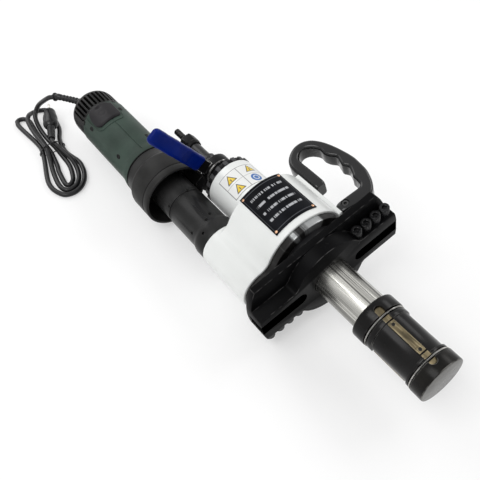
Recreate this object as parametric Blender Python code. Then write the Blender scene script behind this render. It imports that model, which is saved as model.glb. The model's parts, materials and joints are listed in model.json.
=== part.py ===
"""Electric pipe beveling machine with an internally expanding mandrel, lying on its side.

All sizes are millimetres on the machine's own axes, turned into metres as each piece is made. x runs along
the main axis towards the mandrel's free end, with 0 on the white casing's front face. y and z are measured
from the main axis, z up. The motor's axis runs parallel, below and to the -y side.
"""

import math

import bmesh
import bpy
from mathutils import Vector
from mathutils.geometry import tessellate_polygon

MM = 0.001
ORIGIN = (137.684, -10.018, 74.759)

GAP = 0.3
WELD = 0.002
FIT = 0.4
LEAN = 18.71
AXES_APART = 65.25
MOTOR_Y = -AXES_APART * math.cos(math.radians(LEAN))
MOTOR_Z = -AXES_APART * math.sin(math.radians(LEAN))
MAIN = (0.0, 0.0)
MOTOR = (MOTOR_Y, MOTOR_Z)

FINE = 36
PLAIN = 24
SMALL = 16
TINY = 10

DRUM_R = 60.5
LOBE_R = 31.0
WAIST_R = 20.0
CASE_WALL = 5.0
CASE_REAR = -80.6
LOBE_REAR = -85.0
BACK_WALL = 6.0
NECK_R = 36.0
NECK_REAR = -150.5
NECK_BORE_R = 30.0
RAIL_HALF = 13.0
RAIL_TOP = 64.5
RAIL_X = (-84.0, -2.0)
LUG_HALF = 5.0
FRONT_LUG_X = (-12.5, -5.5)
FRONT_LUG_TOP = 84.0
REAR_LUG_X = (-80.0, -70.0)
REAR_LUG_TOP = 76.0
FRONT_SCREW = (-9.0, 75.8)
REAR_SCREW = (-75.0, 70.8)
HANDLE_SHANK_R = 2.7
HANDLE_HEAD_R = 4.5
HANDLE_HALF = 12.5
HANDLE_STEP = 9.0

PLATE_X = (-79.0, -9.0)
PLATE_ANGLES = (71.5, 130.0)
PLATE_THICK = 0.9

HANDLE = [
    (-50.5, 73.0, 7.6, 7.9), (-60.0, 73.0, 7.9, 7.9), (-80.0, 73.0, 7.9, 7.9),
    (-98.0, 73.2, 7.4, 8.1), (-107.0, 76.2, 6.6, 7.4), (-113.6, 82.8, 6.2, 6.4),
    (-116.6, 91.0, 5.9, 6.2), (-115.6, 99.6, 6.2, 6.2), (-110.6, 106.9, 6.3, 6.3),
    (-103.6, 111.9, 6.1, 6.2), (-96.0, 115.3, 6.6, 6.4), (-88.0, 117.9, 9.9, 6.4),
    (-79.3, 120.0, 9.5, 6.5), (-70.2, 121.8, 6.5, 6.4), (-62.6, 122.9, 9.4, 6.5),
    (-55.3, 123.7, 12.0, 6.5), (-50.0, 123.8, 10.4, 6.6), (-44.6, 123.4, 8.4, 6.6),
    (-36.5, 122.6, 10.4, 6.6), (-27.6, 121.2, 13.0, 6.6), (-19.0, 117.6, 10.6, 7.0),
    (-11.5, 113.0, 8.5, 7.6), (-6.3, 106.5, 8.8, 9.0), (-4.6, 98.5, 10.0, 10.0),
    (-5.4, 90.0, 9.9, 9.7), (-6.9, 80.0, 9.2, 9.0), (-8.2, 71.5, 8.5, 8.4),
    (-8.8, 65.2, 8.0, 8.0),
]

FLANGE_FRONT = 10.0
FLANGE_DRUM_R = 58.0
FLANGE_LOBE_R = 28.6

SHAFT_R = 24.0
SHAFT_REAR = -100.0
TAIL_R = 12.0
NOSE_R = 8.8
GUIDE_BORE_R = SHAFT_R + 1.0
DRAWBAR_R = 6.0
DRAW_BORE_R = DRAWBAR_R + FIT

SPINDLE_R = 30.0
SPINDLE_BORE_R = SHAFT_R + 0.6
SPINDLE_REAR = -74.0
SPINDLE_FLANGE_R = 48.0
SPINDLE_SPIGOT_R = 33.0
FRONT_BEARING_R = 42.0
REAR_BEARING_R = 40.0
PINION_BEARING_R = 17.0

HEAD_BACK = 20.0
HEAD_STEP = 29.5
HEAD_FRONT = 47.0
HEAD_R = 104.5
HEAD_HALF = 53.0
JAW_HALF = 22.7
ARM_LEAN = 15.2
SLOT = (-11.0, 5.5)
SLOT_INNER = 38.0
SLOT_FLOOR = 26.0
SCREW_X = 38.0
SCREW_AT = (50.5, 65.0, 79.5, 94.0)
CLAMP_HEAD_R = 6.5
CLAMP_HEAD_H = 8.0
CLAMP_SHANK_R = 4.0

MODULE = 1.5
GEAR_TEETH = 68
PINION_TEETH = 19
GEAR_X = (-59.0, -41.0)
SUN_TEETH = 12
PLANET_TEETH = 15
RING_TEETH = 42
PLANET_COUNT = 3

COLLAR_X = (114.3, 128.9)
COLLAR_R = 30.2
BODY_X = (129.2, 195.6)
LIP_R = 28.5
LIP_END = BODY_X[0] + 13.2
BODY_R = 27.3
GROOVE_R = 27.0
RING_AT = (130.75, 193.9)
RING_WIRE_R = 1.35
RING_R = 28.7
CAP_X = (195.9, 217.0)
JAW_X = (121.5, 206.5)
JAW_WIDE = 9.0
JAW_TOP = 28.1
JAW_ANGLES = (105.0, 225.0, 345.0)
JAW_TONGUE = 25.0
JAW_HEEL = 15.0
JAW_SCREWS = (147.5, 185.4)
BODY_BORE_R = 21.0
CONE_X = (148.0, 190.0)
CONE_R = (8.0, 18.0)

DRAW_NUT_R = 11.0
NUT_FLANGE_R = 29.5
NUT_FLANGE_X = (-150.4, -139.0)
GUIDE_REAR = -108.0
NUT_STEM_R = 18.0
RATCHET_TEETH = 16
LEVER_X = -183.5
STEM_REAR = LEVER_X + 7.5
TAIL_REAR = LEVER_X - 21.5
NOSE_REAR = TAIL_REAR - 32.0
ROD_STEP = NOSE_REAR - 25.0
DRAWBAR_REAR = ROD_STEP - 22.0
LEVER_THICK = 6.0
LEVER_WIDE = 18.0
LEVER_OFFSET = 5.5
LEVER_ANGLE = 129.0
LEVER_TIP = 136.5
LEVER_HUB_R = 21.0
SLEEVE_HALF = 5.0
SLEEVE_ROOT = 36.5
PAWL_ANGLE = 219.0

TUBE_R = 27.5
TUBE_FOOT_R = 31.0
TUBE_X = (-235.6, LOBE_REAR - FIT)
TUBE_STEP = -105.0
TUBE_BORE_R = 19.0
TUBE_SCREWS = (
    (-169.5, 80.2), (-170.9, 153.9), (-116.0, 84.4), (-110.5, 103.3), (-115.3, 158.0), (-98.0, 132.7),
)
BELL_R = 46.0
BELL_X = (-254.0, -192.0)
BELL_FLOOR = BELL_X[0] + 18.0
HOUSING_R = 36.0
HOUSING_WALL = 3.7
HOUSING_BORE_R = HOUSING_R - HOUSING_WALL
INNER_R = HOUSING_BORE_R - FIT
HOUSING_X = (-388.0, BELL_X[0] - FIT)
REAR_CAP_X = (-431.0, HOUSING_X[0] - FIT)
REAR_CAP_R = HOUSING_R - 1.0
SUN_MODULE = 1.2 * INNER_R / 31.9
PLANET_X = (HOUSING_X[1] - 19.6, HOUSING_X[1] - 9.6)
DRIVE_R = 8.0
ARMATURE_R = INNER_R - 13.4
ARMATURE_ROOT_R = ARMATURE_R - 4.5
COMMUTATOR_R = ARMATURE_R - 6.5
CAP_HUB_R = COMMUTATOR_R + 2.0
ROTOR_SHAFT_R = 4.7
SWITCH_ROWS = [
    (71.6, -379.0, -356.0), (75.0, -381.2, -350.0), (79.0, -383.0, -347.4), (85.0, -385.2, -346.6),
    (92.0, -386.8, -346.2), (100.0, -387.8, -346.0), (108.0, -387.8, -346.0), (116.0, -387.8, -346.4),
    (124.0, -387.4, -347.0), (129.5, -384.8, -348.0), (134.5, -377.0, -351.8), (138.5, -370.0, -357.0),
]
SWITCH_THICK = 2.6
CORE_X = (HOUSING_X[1] - 117.6, HOUSING_X[1] - 57.6)
PLATE_REAR = HOUSING_X[1] - 35.6
VENTS = 11
VENT_START = 45.0
VENT_STEP = 11.0

CORD_R = 3.7
CORD_STEP = 8.5
TIE_X = -435.0
TIE_WIRE_R = 0.75
TIE_LIFT = 2.0
CORD_REST = 0.5
CORD_LEAD = [
    (-488.7, -95.9, -19.0), (-494.6, -99.6, -21.4), (-501.2, -103.2, -25.6), (-523.3, -112.4, -46.7),
    (-525.5, -120.6, -59.2), (-512.7, -127.5, -64.6), (-481.7, -130.9, -71.0), (-418.0, -130.6, -71.0),
]
CORD_INNER_LOOP = [
    (-386.3, -132.1, -71.0), (-356.4, -142.4, -71.0), (-352.2, -154.7, -71.0), (-383.6, -151.2, -71.0),
    (-399.0, -147.0, -71.0), (-430.4, -141.7, -71.0),
]
CORD_SMALL_LOOP = [
    (-462.3, -140.2, -71.0), (-494.1, -138.1, -71.0), (-525.8, -135.3, -71.0), (-537.3, -144.4, -71.0),
    (-526.3, -154.1, -71.0), (-462.8, -149.2, -71.0),
]
CORD_OUTER_LOOP = [
    (-431.6, -154.0, -71.0), (-371.3, -174.4, -71.0), (-340.4, -170.0, -71.0), (-331.9, -157.1, -71.0),
    (-335.0, -141.7, -71.0), (-345.5, -129.8, -71.0), (-359.3, -121.9, -71.0), (-374.6, -117.5, -71.0),
    (-390.4, -116.4, -71.0), (-421.7, -122.3, -71.0),
]
CORD_UPPER_LOOP = [
    (-452.7, -116.5, -71.0), (-482.0, -103.8, -71.0), (-528.8, -98.3, -71.0), (-540.4, -108.5, -71.0),
    (-538.2, -123.3, -68.1), (-527.2, -133.6, -63.1), (-512.9, -140.4, -63.4), (-481.3, -144.1, -63.6),
    (-433.5, -146.1, -63.6),
]
CORD_SECOND_LOOP = [
    (-388.0, -158.6, -71.0), (-356.7, -163.9, -71.0), (-342.0, -159.0, -71.0), (-343.2, -144.2, -71.0),
    (-354.7, -133.4, -71.0), (-369.4, -127.1, -71.0), (-384.9, -124.1, -69.1), (-400.1, -124.8, -64.7),
    (-426.0, -129.3, -62.9), (-441.9, -131.5, -62.0), (-449.0, -129.5, -60.9),
]
RELIEF_R = 6.0
RELIEF = [
    (-427.5, -61.81, -20.93), (-438.0, -62.3, -20.9), (-450.0, -66.5, -20.4), (-463.0, -74.6, -19.4),
    (-475.0, -85.0, -17.6),
]
PLUG_SECTIONS = [
    (0.0, 4.9, 4.9), (2.0, 5.6, 5.6), (24.0, 6.4, 6.4), (26.0, 8.2, 7.6), (32.0, 11.4, 10.2),
    (46.0, 11.6, 10.8), (54.0, 10.0, 10.8), (60.0, 9.2, 10.6), (61.5, 8.4, 9.8),
]
PIN_R = 2.0
PIN_APART = 5.0
PIN_LONG = 13.5

FINISHES = {
    "white_paint": ((0.86, 0.86, 0.84), 0.0, 0.28),
    "dark_steel": ((0.10, 0.10, 0.105), 0.85, 0.32),
    "black_oxide": ((0.025, 0.025, 0.028), 0.6, 0.35),
    "bright_steel": ((0.62, 0.60, 0.57), 1.0, 0.25),
    "black_plastic": ((0.02, 0.02, 0.022), 0.0, 0.3),
    "green_plastic": ((0.075, 0.105, 0.085), 0.0, 0.45),
    "blue_vinyl": ((0.01, 0.035, 0.33), 0.0, 0.35),
    "bronze": ((0.55, 0.40, 0.22), 1.0, 0.35),
    "copper": ((0.75, 0.42, 0.26), 1.0, 0.3),
    "black_rubber": ((0.015, 0.015, 0.016), 0.0, 0.5),
    "winding": ((0.50, 0.22, 0.08), 0.7, 0.4),
    "carbon": ((0.03, 0.03, 0.03), 0.1, 0.7),
}


def finish(name, kind):
    """A Principled material of the piece's own, in one of the listed finishes."""
    colour, metallic, roughness = FINISHES[kind]
    material = bpy.data.materials.new(name + "_" + kind)
    material.use_nodes = True
    shader = material.node_tree.nodes["Principled BSDF"]
    shader.inputs["Base Color"].default_value = (*colour, 1.0)
    shader.inputs["Metallic"].default_value = metallic
    shader.inputs["Roughness"].default_value = roughness
    return material


def place(bm, name, kind, pivot=(0.0, 0.0, 0.0), smooth=True):
    """Turns a bmesh in millimetres into an object whose origin is the pivot."""
    bmesh.ops.remove_doubles(bm, verts=bm.verts, dist=WELD)
    bmesh.ops.recalc_face_normals(bm, faces=bm.faces)
    offset = Vector(pivot)
    for vert in bm.verts:
        vert.co = (vert.co - offset) * MM
    for face in bm.faces:
        face.smooth = smooth
    if smooth:
        for edge in bm.edges:
            if len(edge.link_faces) == 2 and edge.calc_face_angle(0.0) > math.radians(35):
                edge.smooth = False
    mesh = bpy.data.meshes.new(name)
    bm.to_mesh(mesh)
    bm.free()
    obj = bpy.data.objects.new(name, mesh)
    obj.location = (offset + Vector(ORIGIN)) * MM
    bpy.context.scene.collection.objects.link(obj)
    if kind:
        mesh.materials.append(finish(name, kind))
    return obj


def polar(radius, degrees, centre=MAIN):
    angle = math.radians(degrees)
    return (centre[0] + radius * math.cos(angle), centre[1] + radius * math.sin(angle))


def turned_by(point, degrees):
    """A (y, z) point turned about the main axis."""
    angle = math.radians(degrees)
    y, z = point
    return (y * math.cos(angle) - z * math.sin(angle), y * math.sin(angle) + z * math.cos(angle))


def add_turned(bm, profile, centre=MAIN, steps=PLAIN):
    """Spins a profile of (x, radius) points about an axis along x; one off the axis is closed on itself."""
    verts = [bm.verts.new((x, centre[0] + radius, centre[1])) for x, radius in profile]
    edges = [bm.edges.new(pair) for pair in zip(verts, verts[1:])]
    if profile[0][1] > 0 or profile[-1][1] > 0:
        edges.append(bm.edges.new((verts[-1], verts[0])))
    bmesh.ops.spin(
        bm,
        geom=verts + edges,
        cent=(0.0, centre[0], centre[1]),
        axis=(1.0, 0.0, 0.0),
        angle=math.tau,
        steps=steps,
        use_merge=True,
    )


def turned(name, kind, profile, centre=MAIN, steps=PLAIN):
    bm = bmesh.new()
    add_turned(bm, profile, centre, steps)
    return place(bm, name, kind, (0.0, *centre))


def add_prism(bm, loops, x0, x1):
    """Extrudes an outline of (y, z) points, with holes after it, from x0 to x1."""
    faces = tessellate_polygon([[Vector((0.0, y, z)) for y, z in loop] for loop in loops])
    flat = [point for loop in loops for point in loop]
    low = [bm.verts.new((x0, y, z)) for y, z in flat]
    high = [bm.verts.new((x1, y, z)) for y, z in flat]
    for face in faces:
        bm.faces.new([low[i] for i in face])
        bm.faces.new([high[i] for i in reversed(face)])
    start = 0
    for loop in loops:
        count = len(loop)
        for i in range(count):
            a = start + i
            b = start + (i + 1) % count
            bm.faces.new((low[a], low[b], high[b], high[a]))
        start += count


def prism(name, kind, loops, x0, x1, centre=MAIN):
    bm = bmesh.new()
    add_prism(bm, loops, x0, x1)
    return place(bm, name, kind, (0.0, *centre))


def circle(radius, centre=MAIN, steps=PLAIN, phase=0.0):
    return [polar(radius, phase + 360.0 * i / steps, centre) for i in range(steps)]


def add_rod(bm, start, end, radius, steps=TINY):
    """A closed cylinder between two points."""
    start = Vector(start)
    end = Vector(end)
    axis = (end - start).normalized()
    side = axis.orthogonal().normalized()
    other = axis.cross(side)
    rings = []
    for at in (start, end):
        ring = []
        for i in range(steps):
            angle = math.tau * i / steps
            ring.append(bm.verts.new(at + radius * (math.cos(angle) * side + math.sin(angle) * other)))
        rings.append(ring)
    bm.faces.new(rings[0])
    bm.faces.new(rings[1])
    for i in range(steps):
        j = (i + 1) % steps
        bm.faces.new((rings[0][i], rings[0][j], rings[1][j], rings[1][i]))


def add_spun(bm, base, axis, profile, steps=TINY):
    """A turned solid of (distance, radius) points along any axis, starting and ending on that axis."""
    base = Vector(base)
    axis = Vector(axis).normalized()
    side = axis.orthogonal().normalized()
    verts = [bm.verts.new(base + axis * d + side * r) for d, r in profile]
    edges = [bm.edges.new(pair) for pair in zip(verts, verts[1:])]
    bmesh.ops.spin(bm, geom=verts + edges, cent=base, axis=axis, angle=math.tau, steps=steps, use_merge=True)


def add_box(bm, x, y, z, lean=0.0):
    """A box between limits given as pairs, turned about the main axis by lean degrees."""
    corners = [(a, b) for a in (0, 1) for b in (0, 1)]
    verts = {}
    for i in (0, 1):
        for a, b in corners:
            verts[i, a, b] = bm.verts.new((x[i], *turned_by((y[a], z[b]), lean)))
    for i in (0, 1):
        bm.faces.new([verts[i, 0, 0], verts[i, 1, 0], verts[i, 1, 1], verts[i, 0, 1]])
        bm.faces.new([verts[0, i, 0], verts[1, i, 0], verts[1, i, 1], verts[0, i, 1]])
        bm.faces.new([verts[0, 0, i], verts[1, 0, i], verts[1, 1, i], verts[0, 1, i]])


def tool(name, build):
    """A helper solid for a Boolean, hidden from renders."""
    bm = bmesh.new()
    build(bm)
    obj = place(bm, name, None, smooth=False)
    obj.hide_render = True
    obj.display_type = "WIRE"
    return obj


def apply_boolean(obj, other, operation):
    """Joins or cuts with the exact solver and keeps the result as the object's own mesh."""
    modifier = obj.modifiers.new(other.name, "BOOLEAN")
    modifier.operation = operation
    modifier.solver = "EXACT"
    modifier.object = other
    bpy.context.view_layer.update()
    result = bpy.data.meshes.new_from_object(obj.evaluated_get(bpy.context.evaluated_depsgraph_get()))
    obj.modifiers.remove(modifier)
    old = obj.data
    kept = [slot for slot in old.materials]
    obj.data = result
    bm = bmesh.new()
    bm.from_mesh(result)
    bmesh.ops.remove_doubles(bm, verts=bm.verts, dist=WELD * MM)
    bmesh.ops.dissolve_degenerate(bm, edges=bm.edges, dist=WELD * MM)
    bm.to_mesh(result)
    bm.free()
    result.materials.clear()
    for material in kept:
        result.materials.append(material)
    bpy.data.meshes.remove(old)
    bpy.data.objects.remove(other)


def cut(obj, build):
    apply_boolean(obj, tool(obj.name + "_cutter", build), "DIFFERENCE")


def join(obj, build):
    apply_boolean(obj, tool(obj.name + "_boss", build), "UNION")


def arc(centre, radius, start, end, steps):
    return [polar(radius, start + (end - start) * i / steps, centre) for i in range(steps + 1)]


def figure_eight(drum_r, lobe_r, waist_r, fine=28):
    """The drum and lobe joined by two concave waists, leaning with the line between the axes."""
    drum_side = drum_r + waist_r
    lobe_side = lobe_r + waist_r
    at_drum = math.acos((drum_side**2 + AXES_APART**2 - lobe_side**2) / (2 * drum_side * AXES_APART))
    at_lobe = math.acos((lobe_side**2 + AXES_APART**2 - drum_side**2) / (2 * lobe_side * AXES_APART))
    a = math.degrees(at_drum)
    b = math.degrees(at_lobe)
    points = arc(MAIN, drum_r, -180 + a, 180 - a, fine)
    lobe = (-AXES_APART, 0.0)
    above = polar(drum_side, 180 - a)
    below = polar(drum_side, -180 + a)
    points += arc(above, waist_r, -a, -180 + b, 5)[1:-1]
    points += arc(lobe, lobe_r, b, 360 - b, fine // 2)
    points += arc(below, waist_r, 180 - b, a, 5)[1:-1]
    return [turned_by(point, LEAN) for point in points]


def gear_outline(teeth, module, centre, phase, internal=False):
    """Straight-sided teeth thinned for backlash, the first one centred on the phase angle."""
    pitch_r = teeth * module / 2
    tip_r = pitch_r + (-0.9 if internal else 0.95) * module
    root_r = pitch_r - (-1.25 if internal else 1.25) * module
    tip_half = 0.28 * module
    root_half = 1.02 * module
    points = []
    for i in range(teeth):
        middle = phase + 360.0 * i / teeth
        tip = math.degrees(tip_half / tip_r)
        root = math.degrees(root_half / root_r)
        for radius, shift in ((root_r, -root), (tip_r, -tip), (tip_r, tip), (root_r, root)):
            points.append(polar(radius, middle + shift, centre))
    return points


def tooth_ring(teeth, outer, inner, centre=MAIN, duty=0.5, slope=0.1):
    """A castellated outline: wide teeth between two radii."""
    step = 360.0 / teeth
    points = []
    for i in range(teeth):
        at = step * i
        half = step * duty / 2
        for radius, shift in (
            (inner, -half - step * slope / 2),
            (outer, -half + step * slope / 2),
            (outer, half - step * slope / 2),
            (inner, half + step * slope / 2),
        ):
            points.append(polar(radius, at + shift, centre))
    return points


def smooth_path(points, spacing):
    """Points along a Catmull-Rom curve through tuples of any length, spaced by their first three numbers."""

    def between(a, b, c, d, t):
        return 0.5 * (2 * b + (c - a) * t + (2 * a - 5 * b + 4 * c - d) * t**2 + (3 * b - a - 3 * c + d) * t**3)

    out = []
    last = len(points) - 1
    for i in range(last):
        near = [points[max(i - 1, 0)], points[i], points[i + 1], points[min(i + 2, last)]]
        count = max(1, round(math.dist(points[i][:3], points[i + 1][:3]) / spacing))
        for k in range(count):
            t = k / count
            out.append(tuple(between(*four, t) for four in zip(*near)))
    out.append(tuple(points[-1]))
    return out


def add_sweep(bm, path, sections, up):
    """Skins closed sections of (side, up) points carried along a path, each square to the path."""
    up = Vector(up).normalized()
    rings = []
    count = len(path)
    for i, (at, section) in enumerate(zip(path, sections)):
        along = (path[min(i + 1, count - 1)] - path[max(i - 1, 0)]).normalized()
        side = along.cross(up).normalized()
        over = side.cross(along)
        rings.append([bm.verts.new(at + side * a + over * b) for a, b in section])
    size = len(rings[0])
    bm.faces.new(rings[0])
    bm.faces.new(rings[-1])
    for one, two in zip(rings, rings[1:]):
        for i in range(size):
            j = (i + 1) % size
            bm.faces.new((one[i], one[j], two[j], two[i]))


def rounded_section(inner, outer, half, corner):
    """A rectangle from -inner to outer by half each way, with its corners cut in two steps."""
    cut_far = corner * 0.3
    points = []
    for a_sign, b_sign, first in ((1, 1, False), (-1, 1, True), (-1, -1, False), (1, -1, True)):
        a = outer if a_sign > 0 else -inner
        b = half * b_sign
        steps = [
            (a - a_sign * corner, b),
            (a - a_sign * cut_far, b - b_sign * cut_far),
            (a, b - b_sign * corner),
        ]
        if not first:
            steps.reverse()
        points += steps
    return points


def rail_point(x, out, across):
    """A point by its distance out from the main axis in the handle's plane, and across that plane."""
    return Vector((x, *turned_by((out, across), LEAN)))


def make_casing():
    case = prism("body_casing", "white_paint", [figure_eight(DRUM_R, LOBE_R, WAIST_R)], CASE_REAR, 0.0)
    inside = CASE_REAR + BACK_WALL
    seat = REAR_BEARING_R + GAP

    def neck(bm):
        front = CASE_REAR + 3
        add_turned(bm, [(NECK_REAR, 0), (NECK_REAR, NECK_R), (front, NECK_R), (front, 0)], steps=FINE)

    def lobe_boss(bm):
        r = LOBE_R - 0.15
        add_turned(bm, [(LOBE_REAR, 0), (LOBE_REAR, r), (CASE_REAR + 3, r), (CASE_REAR + 3, 0)], MOTOR)

    def rail(bm):
        add_box(bm, RAIL_X, (DRUM_R - 8, RAIL_TOP), (-RAIL_HALF, RAIL_HALF), LEAN)

    def lugs(bm):
        add_box(bm, FRONT_LUG_X, (RAIL_TOP - 3, FRONT_LUG_TOP), (-LUG_HALF, LUG_HALF), LEAN)
        add_box(bm, REAR_LUG_X, (RAIL_TOP - 3, REAR_LUG_TOP), (-LUG_HALF, LUG_HALF), LEAN)

    for build in (neck, lobe_boss, rail, lugs):
        join(case, build)

    def cavity(bm):
        inner = figure_eight(DRUM_R - CASE_WALL, LOBE_R - CASE_WALL, WAIST_R + CASE_WALL)
        add_prism(bm, [inner], inside, 5.0)

    def neck_bore(bm):
        step = NUT_FLANGE_X[1] + FIT
        add_turned(bm, [
            (NECK_REAR - 5, 0), (NECK_REAR - 5, NECK_BORE_R), (step, NECK_BORE_R), (step, GUIDE_BORE_R),
            (GUIDE_REAR, GUIDE_BORE_R), (GUIDE_REAR, SPINDLE_BORE_R), (inside + 2, SPINDLE_BORE_R),
            (inside + 2, 0),
        ], steps=FINE)

    def pinion_bore(bm):
        r = PINION_BEARING_R + GAP
        bore = [(LOBE_REAR - 5, 0), (LOBE_REAR - 5, r), (inside + 2, r), (inside + 2, 0)]
        add_turned(bm, bore, MOTOR, SMALL)

    def screw_ways(bm):
        for x, out in (FRONT_SCREW, REAR_SCREW):
            add_rod(bm, rail_point(x, out, -20), rail_point(x, out, 20), HANDLE_SHANK_R + GAP)

    for build in (cavity, neck_bore, pinion_bore, screw_ways):
        cut(case, build)

    def bearing_seat(bm):
        rear = inside - 1
        front = -62.0
        add_turned(bm, [(rear, seat), (rear, seat + 5), (front, seat + 5), (front, seat)], steps=FINE)

    join(case, bearing_seat)


def make_flange():
    outline = figure_eight(FLANGE_DRUM_R, FLANGE_LOBE_R, WAIST_R + 2.4)
    flange = prism("front_flange", "dark_steel", [outline], GAP, FLANGE_FRONT)

    def drum_spigot(bm):
        r = DRUM_R - CASE_WALL - 4.1
        add_turned(bm, [(-16.0, 0), (-16.0, r), (3.0, r), (3.0, 0)], steps=FINE)

    def lobe_spigot(bm):
        r = LOBE_R - CASE_WALL - 4.5
        add_turned(bm, [(-26.0, 0), (-26.0, r), (2.0, r), (2.0, 0)], MOTOR)

    join(flange, drum_spigot)
    join(flange, lobe_spigot)

    def bore(bm):
        r = FRONT_BEARING_R + GAP
        shaft = SPINDLE_R + GAP
        profile = [(-20.0, 0), (-20.0, r), (-3.0, r), (-3.0, shaft), (15.0, shaft), (15.0, 0)]
        add_turned(bm, profile, steps=FINE)

    def pinion_bore(bm):
        r = PINION_BEARING_R + GAP
        profile = [(-30.0, 0), (-30.0, r), (-13.5, r), (-13.5, 10.0), (-8.0, 10.0), (-8.0, 0)]
        add_turned(bm, profile, MOTOR, SMALL)

    cut(flange, bore)
    cut(flange, pinion_bore)


def make_bearings():
    for name, x0, x1, inner, outer, centre, steps in (
        ("front_bearing", -15.0, -3.4, SPINDLE_R, FRONT_BEARING_R, MAIN, FINE),
        ("rear_bearing", -74.0, -62.4, SPINDLE_R, REAR_BEARING_R, MAIN, FINE),
        ("pinion_bearing_front", -24.0, -14.0, DRIVE_R, PINION_BEARING_R, MOTOR, SMALL),
        ("pinion_bearing_rear", -84.4, -75.0, DRIVE_R, PINION_BEARING_R, MOTOR, SMALL),
    ):
        low = inner + GAP
        turned(name, "bright_steel", [(x0, low), (x0, outer), (x1, outer), (x1, low)], centre, steps)


def make_nameplate():
    inner = DRUM_R + GAP
    outer = inner + PLATE_THICK
    start, end = PLATE_ANGLES
    steps = 14
    loop = arc(MAIN, outer, start, end, steps) + arc(MAIN, inner, end, start, steps)
    plate = prism("nameplate", "black_plastic", [loop], *PLATE_X)

    def rivets(bm):
        for x in (PLATE_X[0] + 3.5, PLATE_X[1] - 3.5):
            for angle in (start + 3.0, end - 3.0):
                base = (x, *polar(inner + 0.4, angle))
                axis = (0.0, *polar(1.0, angle))
                add_spun(bm, base, axis, [(0, 0), (0, 1.9), (0.8, 1.9), (1.3, 1.4), (1.5, 0)], 10)

    join(plate, rivets)


def make_handle():
    line = smooth_path([(x, out, 0.0, inner, outer) for x, out, inner, outer in HANDLE], HANDLE_STEP)
    path = [rail_point(x, out, 0.0) for x, out, _, _, _ in line]
    sections = []
    for _, _, _, inner, outer in line:
        sections.append(rounded_section(outer, inner, HANDLE_HALF, min(5.2, outer * 0.6)))
    bm = bmesh.new()
    add_sweep(bm, path, sections, (0.0, *turned_by((0.0, 1.0), LEAN)))
    handle = place(bm, "carry_handle", "black_plastic")

    def lug_ways(bm):
        across = (-LUG_HALF - FIT, LUG_HALF + FIT)
        for (x0, x1), top in ((FRONT_LUG_X, FRONT_LUG_TOP), (REAR_LUG_X, REAR_LUG_TOP)):
            add_box(bm, (x0 - FIT, x1 + FIT), (RAIL_TOP - 4, top + FIT), across, LEAN)

    screws = (("handle_screw_front", FRONT_SCREW, 1.0), ("handle_screw_rear", REAR_SCREW, -1.0))

    def screw_holes(bm):
        shank = HANDLE_SHANK_R + FIT
        head = HANDLE_HEAD_R + FIT
        profile = [(0, 0), (0, shank), (17.1, shank), (17.1, head), (29.0, head), (29.0, 0)]
        for _, (x, out), side in screws:
            axis = Vector((0.0, *turned_by((0.0, side), LEAN)))
            add_spun(bm, rail_point(x, out, -9.1 * side), axis, profile)

    cut(handle, lug_ways)
    cut(handle, screw_holes)
    for name, (x, out), side in screws:
        bm = bmesh.new()
        axis = Vector((0.0, *turned_by((0.0, side), LEAN)))
        shank = HANDLE_SHANK_R
        head = HANDLE_HEAD_R
        profile = [(0, 0), (0, shank), (16.7, shank), (16.7, head), (19.6, head)]
        profile += [(20.0, head - 0.4), (20.0, 2.2), (18.0, 2.2), (18.0, 0)]
        add_spun(bm, rail_point(x, out, -8.4 * side), axis, profile)
        place(bm, name, "bright_steel")


def make_spindle():
    back = HEAD_BACK - GAP
    front = HEAD_STEP + 7.5
    turned("spindle", "bright_steel", [
        (SPINDLE_REAR, SPINDLE_BORE_R), (SPINDLE_REAR, SPINDLE_R), (FLANGE_FRONT + 1, SPINDLE_R),
        (FLANGE_FRONT + 1, SPINDLE_FLANGE_R), (back, SPINDLE_FLANGE_R), (back, SPINDLE_SPIGOT_R),
        (front, SPINDLE_SPIGOT_R), (front, SPINDLE_BORE_R),
    ], steps=FINE)
    phase = 180 + LEAN + 180.0 / GEAR_TEETH
    teeth = gear_outline(GEAR_TEETH, MODULE, MAIN, phase)
    prism("main_gear", "dark_steel", [teeth, circle(SPINDLE_R + GAP, steps=FINE)], *GEAR_X)


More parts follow.
